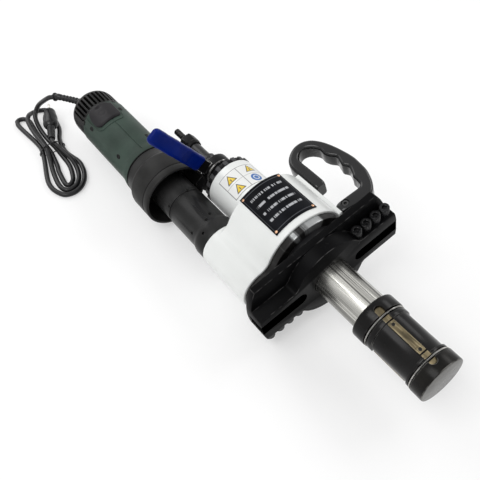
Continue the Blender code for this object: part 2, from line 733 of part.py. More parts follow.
def make_head():
    corner = math.degrees(math.asin(HEAD_HALF / HEAD_R))
    back = arc(MAIN, HEAD_R, -corner, corner, 8) + arc(MAIN, HEAD_R, 180 - corner, 180 + corner, 8)
    head = prism("cutter_head", "black_oxide", [leaned(back)], HEAD_BACK, HEAD_STEP)

    def jaws_and_hub(bm):
        start = math.degrees(math.asin(JAW_HALF / HEAD_HALF))
        tip = math.degrees(math.asin(JAW_HALF / HEAD_R))
        points = []
        for side in (0, 180):
            points += arc(MAIN, HEAD_R, side - tip, side + tip, 3)
            points += arc(MAIN, HEAD_HALF, side + start, side + 180 - start, 10)
        add_prism(bm, [leaned(points)], HEAD_STEP - 5, HEAD_FRONT)

    join(head, jaws_and_hub)

    def bore(bm):
        r = SPINDLE_SPIGOT_R + GAP
        step = HEAD_STEP + 8.5
        add_turned(bm, [
            (HEAD_BACK - 5, 0), (HEAD_BACK - 5, r), (step, r), (step, SPINDLE_BORE_R),
            (HEAD_FRONT + 5, SPINDLE_BORE_R), (HEAD_FRONT + 5, 0),
        ], steps=FINE)

    def slots(bm):
        middle = (SLOT[0] + SLOT[1]) / 2
        half = (SLOT[1] - SLOT[0]) / 2
        loop = arc((SLOT_INNER + half, middle), half, 90, 270, 6)
        loop += [(HEAD_R + 10, SLOT[0]), (HEAD_R + 10, SLOT[1])]
        for side in (0, 180):
            add_prism(bm, [leaned(loop, side)], SLOT_FLOOR, HEAD_FRONT + 5)

    def screw_ways(bm):
        for side in (0, 180):
            for at in SCREW_AT:
                low = (SCREW_X, *turned_by((at, SLOT[1] - 4), ARM_LEAN + side))
                high = (SCREW_X, *turned_by((at, JAW_HALF + 5), ARM_LEAN + side))
                add_rod(bm, low, high, CLAMP_SHANK_R + GAP)

    def head_pockets(bm):
        for side in (0, 180):
            low = (SCREW_X, *turned_by((SCREW_AT[0], JAW_HALF), ARM_LEAN + side))
            high = (SCREW_X, *turned_by((SCREW_AT[0], JAW_HALF + 20), ARM_LEAN + side))
            add_rod(bm, low, high, CLAMP_HEAD_R + 0.6)

    for build in (bore, slots, screw_ways, head_pockets):
        cut(head, build)
    start = SLOT[1] + 0.5
    seat = JAW_HALF - start + GAP
    top = seat + CLAMP_HEAD_H
    shank = CLAMP_SHANK_R
    profile = [(0, 0), (0, shank), (seat, shank), (seat, CLAMP_HEAD_R), (top - 0.6, CLAMP_HEAD_R)]
    profile += [(top, CLAMP_HEAD_R - 0.6), (top, 3.4), (top - 4, 3.4), (top - 4, 0)]
    for letter, side in (("a", 0), ("b", 180)):
        axis = (0.0, *turned_by((0.0, 1.0), ARM_LEAN + side))
        for number, at in enumerate(SCREW_AT, 1):
            bm = bmesh.new()
            add_spun(bm, (SCREW_X, *turned_by((at, start), ARM_LEAN + side)), axis, profile)
            place(bm, f"clamp_screw_{letter}{number}", "black_oxide")


def leaned(points, side=0.0):
    """Points given along and across the cutter head's arms, turned to where the arms stand."""
    return [turned_by(point, ARM_LEAN + side) for point in points]


def cut_jaw_slots(obj, x0, x1, low):
    half = JAW_WIDE / 2 + GAP

    def slots(bm):
        for angle in JAW_ANGLES:
            add_box(bm, (x0, x1), (low, COLLAR_R + 6), (-half, half), angle)

    cut(obj, slots)


def make_mandrel():
    waist = SHAFT_R - 1.5
    front = COLLAR_X[1] - 0.6
    shoulder = COLLAR_X[0] + 2
    turned("mandrel_shaft", "bright_steel", [
        (front, DRAW_BORE_R), (front, waist), (shoulder, waist), (shoulder, SHAFT_R),
        (SHAFT_REAR + 1, SHAFT_R), (SHAFT_REAR, SHAFT_R - 1), (SHAFT_REAR, TAIL_R),
        (TAIL_REAR, TAIL_R), (TAIL_REAR, NOSE_R), (NOSE_REAR, NOSE_R), (NOSE_REAR, DRAW_BORE_R),
    ], steps=FINE)
    collar = turned("rear_collar", "black_oxide", [
        (COLLAR_X[0], SHAFT_R + GAP), (COLLAR_X[0], COLLAR_R - 0.8), (COLLAR_X[0] + 0.8, COLLAR_R),
        (COLLAR_X[1], COLLAR_R), (COLLAR_X[1], waist + GAP), (shoulder + GAP, waist + GAP),
        (shoulder + GAP, SHAFT_R + GAP),
    ], steps=FINE)
    cut_jaw_slots(collar, JAW_X[0] - FIT, COLLAR_X[1] + 5, JAW_TONGUE - FIT)
    groove_rear, groove_front = RING_AT
    half = RING_WIRE_R + 0.55
    body = turned("head_body", "black_oxide", [
        (BODY_X[0], DRAW_BORE_R), (BODY_X[0], GROOVE_R), (groove_rear + half, GROOVE_R),
        (groove_rear + half, LIP_R), (LIP_END, LIP_R), (LIP_END + 0.8, BODY_R), (groove_front - half, BODY_R),
        (groove_front - half, GROOVE_R), (BODY_X[1], GROOVE_R), (BODY_X[1], BODY_BORE_R),
        (BODY_X[0] + 7.8, BODY_BORE_R), (BODY_X[0] + 7.8, DRAW_BORE_R),
    ], steps=FINE)
    cut_jaw_slots(body, BODY_X[0] - 5, BODY_X[1] + 5, JAW_HEEL - 0.6)
    spigot = BODY_BORE_R - GAP
    cap = turned("mandrel_end_cap", "black_oxide", [
        (CAP_X[0] - 3.5, 0), (CAP_X[0] - 3.5, spigot), (CAP_X[0], spigot), (CAP_X[0], COLLAR_R),
        (CAP_X[1] - 1, COLLAR_R), (CAP_X[1], COLLAR_R - 1), (CAP_X[1], 0),
    ], steps=FINE)
    cut_jaw_slots(cap, CAP_X[0] - 1, JAW_X[1] + FIT, JAW_TONGUE - FIT)
    for number, at in enumerate(RING_AT, 1):
        ring = arc((at, RING_R), RING_WIRE_R, 0, 360, 6)[:-1]
        turned(f"garter_ring_{number}", "black_oxide", ring, steps=PLAIN)
    for number, angle in enumerate(JAW_ANGLES, 1):
        make_jaw(number, angle)


def cone_radius(x):
    t = (x - CONE_X[0]) / (CONE_X[1] - CONE_X[0])
    return CONE_R[0] + (CONE_R[1] - CONE_R[0]) * t


def make_jaw(number, angle):
    """A strip lying in the head's slot, tongued at both ends and ramped underneath."""
    half = JAW_WIDE / 2
    top = JAW_TOP
    groove = RING_WIRE_R + 0.45
    bottom = GROOVE_R - 0.9
    ramp = (CONE_X[0] + 2.0, CONE_X[1] - 1.5)
    side = [(JAW_X[0], top - 1.0), (JAW_X[0] + 1.0, top)]
    for at in RING_AT:
        side += [(at - groove, top), (at - groove, bottom), (at + groove, bottom), (at + groove, top)]
    side += [
        (JAW_X[1] - 1.0, top), (JAW_X[1], top - 1.0), (JAW_X[1], JAW_TONGUE), (BODY_X[1] - 4.4, JAW_TONGUE),
        (BODY_X[1] - 4.4, BODY_BORE_R), (ramp[1], BODY_BORE_R), (ramp[1], cone_radius(ramp[1]) + 0.5),
        (ramp[0], cone_radius(ramp[0]) + 0.5), (ramp[0], JAW_HEEL), (BODY_X[0] + 0.6, JAW_HEEL),
        (BODY_X[0] + 0.6, JAW_TONGUE), (JAW_X[0], JAW_TONGUE),
    ]
    bm = bmesh.new()
    rows = []
    for across in (-half, half):
        rows.append([bm.verts.new((x, *turned_by((r, across), angle))) for x, r in side])
    add_walls(bm, rows)
    jaw = place(bm, f"jaw_{number}", "bronze")

    def screw_sockets(bm):
        for x in JAW_SCREWS:
            add_rod(bm, (x, *polar(top - 2.2, angle)), (x, *polar(top + 3, angle)), 2.0, 10)

    cut(jaw, screw_sockets)


def add_walls(bm, rows):
    """Closes two matching outlines with an end face each and walls between them."""
    bm.faces.new(rows[0])
    bm.faces.new(rows[1])
    count = len(rows[0])
    for i in range(count):
        j = (i + 1) % count
        bm.faces.new((rows[0][i], rows[0][j], rows[1][j], rows[1][i]))


def make_drawbar():
    turned("drawbar", "bright_steel", [
        (DRAWBAR_REAR, 0), (DRAWBAR_REAR, 3.2), (DRAWBAR_REAR + 2.5, 4.6), (ROD_STEP, 4.6),
        (ROD_STEP, DRAWBAR_R), (CONE_X[0], DRAWBAR_R), (CONE_X[0], CONE_R[0]),
        (CONE_X[1], CONE_R[1]), (CONE_X[1] + 1.0, CONE_R[1]), (CONE_X[1] + 1.0, 0),
    ], steps=SMALL)
    corner = DRAW_NUT_R / math.cos(math.radians(30))
    washer = NOSE_REAR - GAP - 5.6
    hexagon = [polar(corner, 60 * i + 12) for i in range(6)]
    bore = circle(DRAWBAR_R + GAP, steps=SMALL)
    nut = prism("draw_nut", "black_oxide", [hexagon, bore], ROD_STEP + 4.0, washer)

    def flange(bm):
        bore = DRAWBAR_R + GAP
        rear = washer - 1.0
        front = NOSE_REAR - GAP
        add_turned(bm, [(rear, bore), (rear, DRAW_NUT_R), (front, DRAW_NUT_R), (front, bore)], steps=SMALL)

    join(nut, flange)


def make_feed():
    rear, front = NUT_FLANGE_X
    bore = TAIL_R + GAP
    collar = TAIL_R + 1.0
    turned("feed_nut", "dark_steel", [
        (front, bore), (front, NUT_FLANGE_R), (rear, NUT_FLANGE_R), (rear, NUT_STEM_R),
        (STEM_REAR, NUT_STEM_R), (STEM_REAR, collar), (STEM_REAR - 17.0, collar), (STEM_REAR - 17.0, bore),
    ])
    wheel = [tooth_ring(RATCHET_TEETH, 15.6, 14.4), circle(collar + GAP)]
    prism("ratchet_wheel", "dark_steel", wheel, STEM_REAR - 14.5, STEM_REAR - FIT)
    ring = [tooth_ring(18, NECK_R + 1.0, NECK_R - 0.6), circle(NUT_STEM_R + FIT)]
    prism("neck_ring", "dark_steel", ring, NECK_REAR - 8.0, NECK_REAR - GAP)


def make_lever():
    rear = LEVER_X - 7.2
    front = LEVER_X + 9.2
    step = front - 3.5
    arm = turned("feed_lever", "black_oxide", [
        (rear, 16.3), (rear, LEVER_HUB_R - 1), (rear + 1, LEVER_HUB_R), (front - 1, LEVER_HUB_R),
        (front, LEVER_HUB_R - 1), (front, NUT_STEM_R + FIT), (step, NUT_STEM_R + FIT), (step, 16.3),
    ])
    bar_half = LEVER_THICK / 2

    def bar(bm):
        x = (LEVER_X - bar_half, LEVER_X + bar_half)
        across = (LEVER_OFFSET - LEVER_WIDE / 2, LEVER_OFFSET + LEVER_WIDE / 2)
        add_box(bm, x, (17.4, LEVER_TIP), across, LEVER_ANGLE)

    def pawl_box(bm):
        add_box(bm, (rear + 1, step), (17.8, 33.0), (-9.0, 9.0), PAWL_ANGLE)

    def pawl_way(bm):
        add_box(bm, (LEVER_X - 3.4, LEVER_X + 3.4), (14.0, 29.0), (-3.4, 3.4), PAWL_ANGLE)

    join(arm, bar)
    join(arm, pawl_box)
    cut(arm, pawl_way)
    bm = bmesh.new()
    add_box(bm, (LEVER_X - 3.0, LEVER_X + 3.0), (15.9, 24.0), (-3.0, 3.0), PAWL_ANGLE)
    place(bm, "pawl", "bright_steel")
    ends = (SLEEVE_ROOT, SLEEVE_ROOT + 34.0, SLEEVE_ROOT + 68.0, LEVER_TIP + 3.0)
    middle = [Vector((LEVER_X, *turned_by((r, LEVER_OFFSET), LEVER_ANGLE))) for r in ends]
    section = rounded_section(SLEEVE_HALF, SLEEVE_HALF, LEVER_WIDE / 2 + 2.0, 3.2)
    bm = bmesh.new()
    add_sweep(bm, middle, [section] * len(middle), (0.0, *turned_by((0.0, 1.0), LEVER_ANGLE)))
    sleeve = place(bm, "lever_sleeve", "blue_vinyl")

    def pocket(bm):
        x = (LEVER_X - bar_half - GAP, LEVER_X + bar_half + GAP)
        half = LEVER_WIDE / 2 + GAP
        across = (LEVER_OFFSET - half, LEVER_OFFSET + half)
        add_box(bm, x, (20.0, LEVER_TIP + GAP), across, LEVER_ANGLE)

    cut(sleeve, pocket)


def make_drive():
    rear, front = TUBE_X
    slim = TUBE_R - 0.6
    groove = TUBE_R - 1.5
    tube = turned("drive_tube", "black_oxide", [
        (rear, TUBE_BORE_R), (rear, slim), (-167.6, slim), (-167.2, groove), (-166.4, groove),
        (-166.0, TUBE_R),
        (TUBE_STEP - 2, TUBE_R), (TUBE_STEP, TUBE_FOOT_R - 1), (TUBE_STEP + 1, TUBE_FOOT_R),
        (front, TUBE_FOOT_R), (front, TUBE_BORE_R),
    ], MOTOR, FINE)

    def screw_holes(bm):
        for x, angle in TUBE_SCREWS:
            low = polar(TUBE_BORE_R - 2, angle, MOTOR)
            high = polar(TUBE_R + 4, angle, MOTOR)
            add_rod(bm, (x, *low), (x, *high), 1.8)

    def neck_relief(bm):
        r = NECK_R + FIT
        low = TUBE_STEP - 8
        high = CASE_REAR
        add_turned(bm, [(low, 0), (low, r), (high, r), (high, 0)], steps=FINE)

    cut(tube, screw_holes)
    cut(tube, neck_relief)
    teeth = gear_outline(PINION_TEETH, MODULE, MOTOR, LEAN)
    pinion = prism("pinion_shaft", "bright_steel", [teeth], GEAR_X[0] - 1, GEAR_X[1] + 1, MOTOR)
    shaft_end = TUBE_STEP - 8.0
    plate = HOUSING_X[1] - 0.6

    def pinion_journals(bm):
        add_turned(bm, [(shaft_end, 0), (shaft_end, DRIVE_R), (-14.2, DRIVE_R), (-14.2, 0)], MOTOR, SMALL)

    join(pinion, pinion_journals)
    socket = shaft_end - 1.5
    offset = (SUN_TEETH + PLANET_TEETH) * SUN_MODULE / 2
    carrier = turned("planet_carrier", "bright_steel", [
        (socket, 0), (socket, DRIVE_R + GAP), (shaft_end + 13.0, DRIVE_R + GAP), (shaft_end + 13.0, 13.0),
        (shaft_end - 14.0, 13.0), (shaft_end - 14.0, DRIVE_R), (plate, DRIVE_R), (plate, offset + 6.8),
        (plate - 6.0, offset + 6.8), (plate - 6.0, 0),
    ], MOTOR, SMALL)
    centres = [polar(offset, LEAN + 360.0 * i / PLANET_COUNT, MOTOR) for i in range(PLANET_COUNT)]

    def pins(bm):
        for y, z in centres:
            add_rod(bm, (plate - 3.0, y, z), (PLANET_X[0] + 0.5, y, z), 3.0)

    join(carrier, pins)
    for number, centre in enumerate(centres):
        phase = LEAN + 360.0 * number / PLANET_COUNT + 180
        outline = gear_outline(PLANET_TEETH, SUN_MODULE, centre, phase)
        bore = circle(3.3, centre, TINY)
        prism(f"planet_gear_{number + 1}", "dark_steel", [outline, bore], *PLANET_X, centre)
    ring = [circle(INNER_R, MOTOR), gear_outline(RING_TEETH, SUN_MODULE, MOTOR, LEAN, internal=True)]
    prism("ring_gear", "dark_steel", ring, PLANET_X[0] - 2, PLANET_X[1] + 1, MOTOR)


def make_motor():
    rear, mouth = BELL_X
    groove = mouth - 11.0
    flare = HOUSING_R + 3.0
    turned("gearbox_bell", "black_plastic", [
        (rear, DRIVE_R + GAP), (rear, flare), (rear + 7.0, flare + 1.6), (rear + 16.0, BELL_R - 4.4),
        (rear + 21.5, BELL_R - 0.4), (rear + 24.0, BELL_R), (groove - 0.8, BELL_R),
        (groove - 0.4, BELL_R - 0.9), (groove + 0.4, BELL_R - 0.9), (groove + 0.8, BELL_R),
        (mouth - 0.8, BELL_R), (mouth, BELL_R - 0.8), (mouth, BELL_R - 3.4),
        (BELL_FLOOR, BELL_R - 4.2), (BELL_FLOOR, DRIVE_R + GAP),
    ], MOTOR, FINE)
    rear, front = HOUSING_X
    turned("motor_housing", "green_plastic", [
        (rear, HOUSING_BORE_R), (rear, HOUSING_R), (front - 20.6, HOUSING_R), (front - 7.6, flare),
        (front, flare), (front, HOUSING_BORE_R),
    ], MOTOR, FINE)
    bore = ROTOR_SHAFT_R + GAP + 0.1
    turned("gearbox_plate", "dark_steel", [
        (PLATE_REAR, bore), (PLATE_REAR, INNER_R), (PLATE_REAR + 11.4, INNER_R), (PLATE_REAR + 11.4, bore),
    ], MOTOR)
    poles = []
    for side in (LEAN, LEAN + 180):
        poles += arc(MOTOR, ARMATURE_R + 0.8, side + 12, side + 168, 12)
        poles += [polar(INNER_R - 4.9, side + 164, MOTOR), polar(INNER_R - 4.9, side + 196, MOTOR)]
    prism("stator", "winding", [circle(INNER_R, MOTOR), poles], *CORE_X, MOTOR)
    core = tooth_ring(12, ARMATURE_R, ARMATURE_ROOT_R, MOTOR, duty=0.72, slope=0.06)
    armature = prism("armature", "winding", [core], CORE_X[0] - 3, CORE_X[1] + 3, MOTOR)

    shaft_rear = REAR_CAP_X[0] + 7.5

    def rotor_shaft(bm):
        add_turned(bm, [
            (shaft_rear, 0), (shaft_rear, ROTOR_SHAFT_R), (PLATE_REAR + 12.5, ROTOR_SHAFT_R),
            (PLATE_REAR + 12.5, 4.0), (PLANET_X[1] + 0.5, 4.0), (PLANET_X[1] + 0.5, 0),
        ], MOTOR, TINY)

    def sun_teeth(bm):
        outline = gear_outline(SUN_TEETH, SUN_MODULE, MOTOR, LEAN + 180.0 / SUN_TEETH)
        add_prism(bm, [outline], PLANET_X[0] - 1, PLANET_X[1] - 0.5)

    join(armature, rotor_shaft)
    join(armature, sun_teeth)
    on_shaft = circle(ROTOR_SHAFT_R + GAP + 0.1, MOTOR, TINY)
    bars = tooth_ring(16, COMMUTATOR_R, COMMUTATOR_R - 0.7, MOTOR, duty=0.8, slope=0.06)
    prism("commutator", "copper", [bars, on_shaft], CORE_X[0] - 27.0, CORE_X[0] - 11.0, MOTOR)
    fan = tooth_ring(14, INNER_R - 3.4, COMMUTATOR_R, MOTOR, duty=0.45, slope=0.1)
    prism("cooling_fan", "black_plastic", [fan, on_shaft], CORE_X[1] + 5.0, CORE_X[1] + 16.0, MOTOR)
    near = COMMUTATOR_R + FIT
    far = INNER_R - 0.7
    for number, side in ((1, 90.0), (2, 270.0)):
        corners = [(near, -3.0), (near, 3.0), (far, 3.0), (far, -3.0)]
        corners = [turned_by(corner, LEAN + side) for corner in corners]
        outline = [(MOTOR_Y + y, MOTOR_Z + z) for y, z in corners]
        prism(f"carbon_brush_{number}", "carbon", [outline], CORE_X[0] - 23.0, CORE_X[0] - 15.0, MOTOR)


def make_rear_cap():
    x0, x1 = REAR_CAP_X
    bore = ROTOR_SHAFT_R + GAP + 0.1
    cap = turned("rear_vent_cap", "black_plastic", [
        (x0, RELIEF_R + GAP), (x0, REAR_CAP_R - 9.0), (x0 + 1.5, REAR_CAP_R - 5.0), (x0 + 5.0, REAR_CAP_R - 2.0),
        (x0 + 9.0, REAR_CAP_R - 0.7), (x0 + 16.0, REAR_CAP_R), (x1, REAR_CAP_R), (x1, HOUSING_BORE_R),
        (x0 + 14.0, HOUSING_BORE_R), (x0 + 5.0, REAR_CAP_R - 10.0), (x0 + 5.0, CAP_HUB_R),
        (x0 + 17.0, CAP_HUB_R), (x0 + 17.0, bore), (x0 + 6.5, bore), (x0 + 6.5, RELIEF_R + GAP),
    ], MOTOR, FINE)
    slot_rear = x0 + 10.0
    slot_front = x1 - 4.1
    side = [
        (slot_rear, REAR_CAP_R - 9.0), (slot_rear, REAR_CAP_R + 4.0), (slot_front, REAR_CAP_R + 4.0),
        (slot_front, REAR_CAP_R - 6.0), (x0 + 15.0, REAR_CAP_R - 6.0),
    ]

    def vents(bm):
        angles = [VENT_START + VENT_STEP * i for i in range(VENTS)]
        for angle in angles + [angle + 180.0 for angle in angles[::3]]:
            rows = []
            for across in (-1.35, 1.35):
                points = [(x, *turned_by((r, across), angle)) for x, r in side]
                rows.append([bm.verts.new((x, MOTOR_Y + y, MOTOR_Z + z)) for x, y, z in points])
            add_walls(bm, rows)

    cut(cap, vents)


def make_switch():
    """The curved slide switch, lying on the housing in front of the rear cap."""
    bm = bmesh.new()
    rings = []
    for radius in (HOUSING_R + GAP, HOUSING_R + SWITCH_THICK):
        rear = [bm.verts.new((x0, *polar(radius, angle, MOTOR))) for angle, x0, _ in SWITCH_ROWS]
        front = [bm.verts.new((x1, *polar(radius, angle, MOTOR))) for angle, _, x1 in SWITCH_ROWS]
        rings.append((rear, front))
    last = len(SWITCH_ROWS) - 1
    for rear, front in rings:
        for i in range(last):
            bm.faces.new((rear[i], rear[i + 1], front[i + 1], front[i]))
    low, high = rings
    for side in (0, 1):
        for i in range(last):
            bm.faces.new((low[side][i], low[side][i + 1], high[side][i + 1], high[side][i]))
    for i in (0, last):
        bm.faces.new((low[0][i], low[1][i], high[1][i], high[0][i]))
    place(bm, "switch_slide", "black_plastic")


def tie_lift(x):
    """How far the hank stands off the floor where the tie passes under it."""
    return CORD_REST + TIE_LIFT * math.exp(-(((x - TIE_X) / 16.0) ** 2))


def cord_path():
    route = CORD_LEAD + CORD_INNER_LOOP + CORD_SMALL_LOOP
    route += CORD_OUTER_LOOP + CORD_UPPER_LOOP + CORD_SECOND_LOOP
    return [Vector((x, y, z + tie_lift(x))) for x, y, z in smooth_path(route, CORD_STEP)]


def least_self_gap(path):
    """The smallest space between two runs of the cord that aren't next to each other along it."""
    reach = [0.0]
    for a, b in zip(path, path[1:]):
        reach.append(reach[-1] + (b - a).length)
    least = math.inf
    for i, a in enumerate(path):
        for j in range(i + 2, len(path) - 1):
            if reach[j] - reach[i] < 4.4 * CORD_R:
                continue
            along = path[j + 1] - path[j]
            t = max(0.0, min(1.0, (a - path[j]).dot(along) / along.length_squared))
            least = min(least, (a - path[j] - along * t).length)
    return least - 2 * CORD_R, reach[-1]


def make_cord():
    path = cord_path()
    gap, length = least_self_gap(path)
    print(f"cord: {length:.0f} mm long, {len(path)} points, least gap to itself {gap:.2f} mm")
    curve = bpy.data.curves.new("cord", "CURVE")
    curve.dimensions = "3D"
    curve.bevel_depth = CORD_R * MM
    curve.bevel_resolution = 1
    curve.use_fill_caps = True
    spline = curve.splines.new("POLY")
    spline.points.add(len(path) - 1)
    for point, at in zip(spline.points, path):
        point.co = (*(at * MM), 1.0)
    cord = bpy.data.objects.new("cord", curve)
    cord.location = Vector(ORIGIN) * MM
    bpy.context.scene.collection.objects.link(cord)
    curve.materials.append(finish("cord", "black_rubber"))
    make_relief(path)
    make_plug(path)
    make_tie(path)


def round_section(side, up, steps=TINY):
    angles = [math.tau * i / steps for i in range(steps)]
    return [(side * math.cos(angle), up * math.sin(angle)) for angle in angles]


def make_relief(path):
    ahead = (path[1] - path[0]).normalized()
    end = path[0] - ahead * GAP
    collar = end - ahead * 3.0
    middle = smooth_path(RELIEF + [tuple(collar - ahead * 4.0)], 6.0)
    middle = [Vector(point) for point in middle]
    radii = [RELIEF_R - 1.0 * i / (len(middle) - 1) for i in range(len(middle))]
    middle += [collar, collar + ahead * 0.2, end]
    radii += [RELIEF_R - 1.0, RELIEF_R + 0.6, RELIEF_R + 0.6]
    bm = bmesh.new()
    add_sweep(bm, middle, [round_section(r, r) for r in radii], (0.0, 0.0, 1.0))
    place(bm, "strain_relief", "black_rubber")


def make_plug(path):
    start = path[-1]
    ahead = (start - path[-2]).normalized()
    across = ahead.cross(Vector((0.0, 0.0, 1.0))).cross(ahead).normalized()
    middle = [start + ahead * (d + GAP) for d, _, _ in PLUG_SECTIONS]
    bm = bmesh.new()
    add_sweep(bm, middle, [round_section(side, up, 16) for _, side, up in PLUG_SECTIONS], (0.0, 0.0, 1.0))
    plug = place(bm, "plug", "black_rubber")
    face = middle[-1]

    def pins(bm):
        for side in (-PIN_APART, PIN_APART):
            base = face + across * side - ahead * 3.0
            tip = PIN_LONG + 3
            add_spun(bm, base, ahead, [(0, 0), (0, PIN_R), (tip - 1, PIN_R), (tip, 1.2), (tip, 0)])

    join(plug, pins)


def hull(points):
    """The convex outline of flat points, turning one way round."""
    points = sorted(set(points))
    sides = []
    for order in (points, points[::-1]):
        side = []
        for point in order:
            while len(side) > 1:
                a, b = side[-2:]
                if (b[0] - a[0]) * (point[1] - a[1]) - (b[1] - a[1]) * (point[0] - a[0]) > 0:
                    break
                side.pop()
            side.append(point)
        sides += side[:-1]
    return sides


def make_tie(path):
    """A wire drawn round the strands where they pass side by side."""
    around = CORD_R + FIT + TIE_WIRE_R
    outline = []
    for a, b in zip(path, path[1:]):
        if (a.x - TIE_X) * (b.x - TIE_X) <= 0 and a.x != b.x:
            at = a.lerp(b, (TIE_X - a.x) / (b.x - a.x))
            outline += [(round(y, 3), round(z, 3)) for y, z in circle(around, (at.y, at.z), 8, 22.5)]
    ring = [Vector((TIE_X, y, z)) for y, z in hull(outline)]
    bm = bmesh.new()
    rows = []
    count = len(ring)
    for i, at in enumerate(ring):
        along = (ring[(i + 1) % count] - ring[i - 1]).normalized()
        out = along.cross(Vector((1.0, 0.0, 0.0)))
        row = []
        for k in range(6):
            angle = math.tau * k / 6
            away = math.cos(angle) * out + Vector((math.sin(angle), 0.0, 0.0))
            row.append(bm.verts.new(at + TIE_WIRE_R * away))
        rows.append(row)
    for i in range(count):
        one, two = rows[i - 1], rows[i]
        for k in range(6):
            j = (k + 1) % 6
            bm.faces.new((one[k], one[j], two[j], two[k]))
    place(bm, "cord_tie", "black_rubber")


def main():
    for obj in list(bpy.data.objects):
        bpy.data.objects.remove(obj)
    make_casing()
    make_flange()
    make_bearings()
    make_nameplate()
    make_handle()
    make_spindle()
    make_head()
    make_mandrel()
    make_drawbar()
    make_feed()
    make_lever()
    make_drive()
    make_motor()
    make_rear_cap()
    make_switch()
    make_cord()


main()
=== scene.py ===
"""Dresses the pipe beveling machine: finishes, worn edges, knurls, vents, springs and the free cord.

Sizes are millimetres on the machine's own axes: x along the main axis towards the mandrel's free end, 0 on
the white casing's front face, and y and z from the main axis. They become metres as each piece is made.
"""

import json
import math

import bmesh
import bpy
from mathutils import Matrix, Vector


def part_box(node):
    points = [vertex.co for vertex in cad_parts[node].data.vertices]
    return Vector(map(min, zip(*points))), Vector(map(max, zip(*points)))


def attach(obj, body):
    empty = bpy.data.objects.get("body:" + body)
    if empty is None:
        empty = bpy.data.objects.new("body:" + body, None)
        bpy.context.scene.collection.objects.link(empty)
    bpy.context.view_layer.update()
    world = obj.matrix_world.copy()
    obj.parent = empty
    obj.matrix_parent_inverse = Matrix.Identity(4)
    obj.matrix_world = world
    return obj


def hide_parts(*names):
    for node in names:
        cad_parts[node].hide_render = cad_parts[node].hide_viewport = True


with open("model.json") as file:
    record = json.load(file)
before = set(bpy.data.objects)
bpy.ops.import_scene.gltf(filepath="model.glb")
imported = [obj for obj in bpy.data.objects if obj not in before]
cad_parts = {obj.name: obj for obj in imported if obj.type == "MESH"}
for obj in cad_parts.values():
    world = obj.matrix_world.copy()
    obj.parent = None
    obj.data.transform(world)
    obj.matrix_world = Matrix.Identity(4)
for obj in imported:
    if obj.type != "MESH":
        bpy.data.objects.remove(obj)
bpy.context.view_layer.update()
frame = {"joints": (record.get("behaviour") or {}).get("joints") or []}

bl_info = {
    "name": "Pipe beveling machine",
    "version": (1, 0, 0),
    "blender": (4, 5, 0),
    "location": "3D View > Sidebar > Beveler",
    "description": "Finishes and fine pieces for a pipe beveling machine",
    "category": "Add Mesh",
}

MM = 0.001

# Where the CAD stands: the main axis from its hinge, the casing's face from the mandrel's end.
CAP_FRONT = 217.0
HINGES = {joint["name"]: joint for joint in frame["joints"]}
MAIN_WORLD = Vector(HINGES["cutter_spin"]["pos_m"]) / MM
MOTOR_WORLD = Vector(HINGES["rotor_spin"]["pos_m"]) / MM
ORIGIN = Vector((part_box("mandrel_end_cap")[1].x / MM - CAP_FRONT, MAIN_WORLD.y, MAIN_WORLD.z))
MAIN = (0.0, 0.0)
MOTOR = (MOTOR_WORLD.y - ORIGIN.y, MOTOR_WORLD.z - ORIGIN.z)
AXES_APART = math.hypot(*MOTOR)
LEAN = math.degrees(math.atan2(-MOTOR[1], -MOTOR[0]))

ROUND = 128
SMALL_ROUND = 32
TINY_ROUND = 16
GAP = 0.3

# The white casing and what is on it.
DRUM_R = 60.5
LOBE_R = 31.0
WAIST_R = 20.0
CASE_REAR = -80.6
LOBE_REAR = -85.0
BACK_WALL = 6.0
NECK_R = 36.0
NECK_REAR = -150.5
NECK_BORE_R = 30.0
FRONT_HOLLOW_R = 51.9
RAIL_HALF = 13.0
RAIL_TOP = 64.5
RAIL_X = (-84.0, -2.0)
LUG_HALF = 5.0
FRONT_LUG_X = (-12.5, -5.5)
FRONT_LUG_TOP = 84.0
REAR_LUG_X = (-80.0, -70.0)
REAR_LUG_TOP = 76.0
FRONT_SCREW = (-9.0, 75.8)
REAR_SCREW = (-75.0, 70.8)
HANDLE_SHANK_R = 2.7
HANDLE_HEAD_R = 4.5
HANDLE_HALF = 12.5
PLATE_X = (-79.0, -9.0)
PLATE_ANGLES = (71.5, 130.0)
PLATE_THICK = 0.9
LABEL_X = (-139.0, -101.0)
LABEL_ANGLES = (50.0, 141.0)
LABEL_THICK = 0.12
LABEL_TRIANGLES = ((-127.5, 119.0), (-109.0, 117.6), (-128.6, 70.0))
LABEL_DISC = (-110.7, 73.0)

# x, distance out from the main axis, and the grip's depth inwards and outwards of that line.
HANDLE = [
    (-50.5, 73.0, 7.6, 7.9), (-60.0, 73.0, 7.9, 7.9), (-80.0, 73.0, 7.9, 7.9), (-98.0, 73.2, 7.4, 8.1),
    (-107.0, 76.2, 6.6, 7.4), (-113.6, 82.8, 6.2, 6.4), (-116.6, 91.0, 5.9, 6.2), (-115.6, 99.6, 6.2, 6.2),
    (-110.6, 106.9, 6.3, 6.3), (-103.6, 111.9, 6.1, 6.2), (-96.0, 115.3, 6.6, 6.4),
    (-88.0, 117.9, 9.9, 6.4),
    (-79.3, 120.0, 9.5, 6.5), (-70.2, 121.8, 6.5, 6.4), (-62.6, 122.9, 9.4, 6.5), (-55.3, 123.7, 12.0, 6.5),
    (-50.0, 123.8, 10.4, 6.6), (-44.6, 123.4, 8.4, 6.6), (-36.5, 122.6, 10.4, 6.6),
    (-27.6, 121.2, 13.0, 6.6),
    (-19.0, 117.6, 10.6, 7.0), (-11.5, 113.0, 8.5, 7.6), (-6.3, 106.5, 8.8, 9.0), (-4.6, 98.5, 10.0, 10.0),
    (-5.4, 90.0, 9.9, 9.7), (-6.9, 80.0, 9.2, 9.0), (-8.2, 71.5, 8.5, 8.4), (-8.8, 65.2, 8.0, 8.0),
]

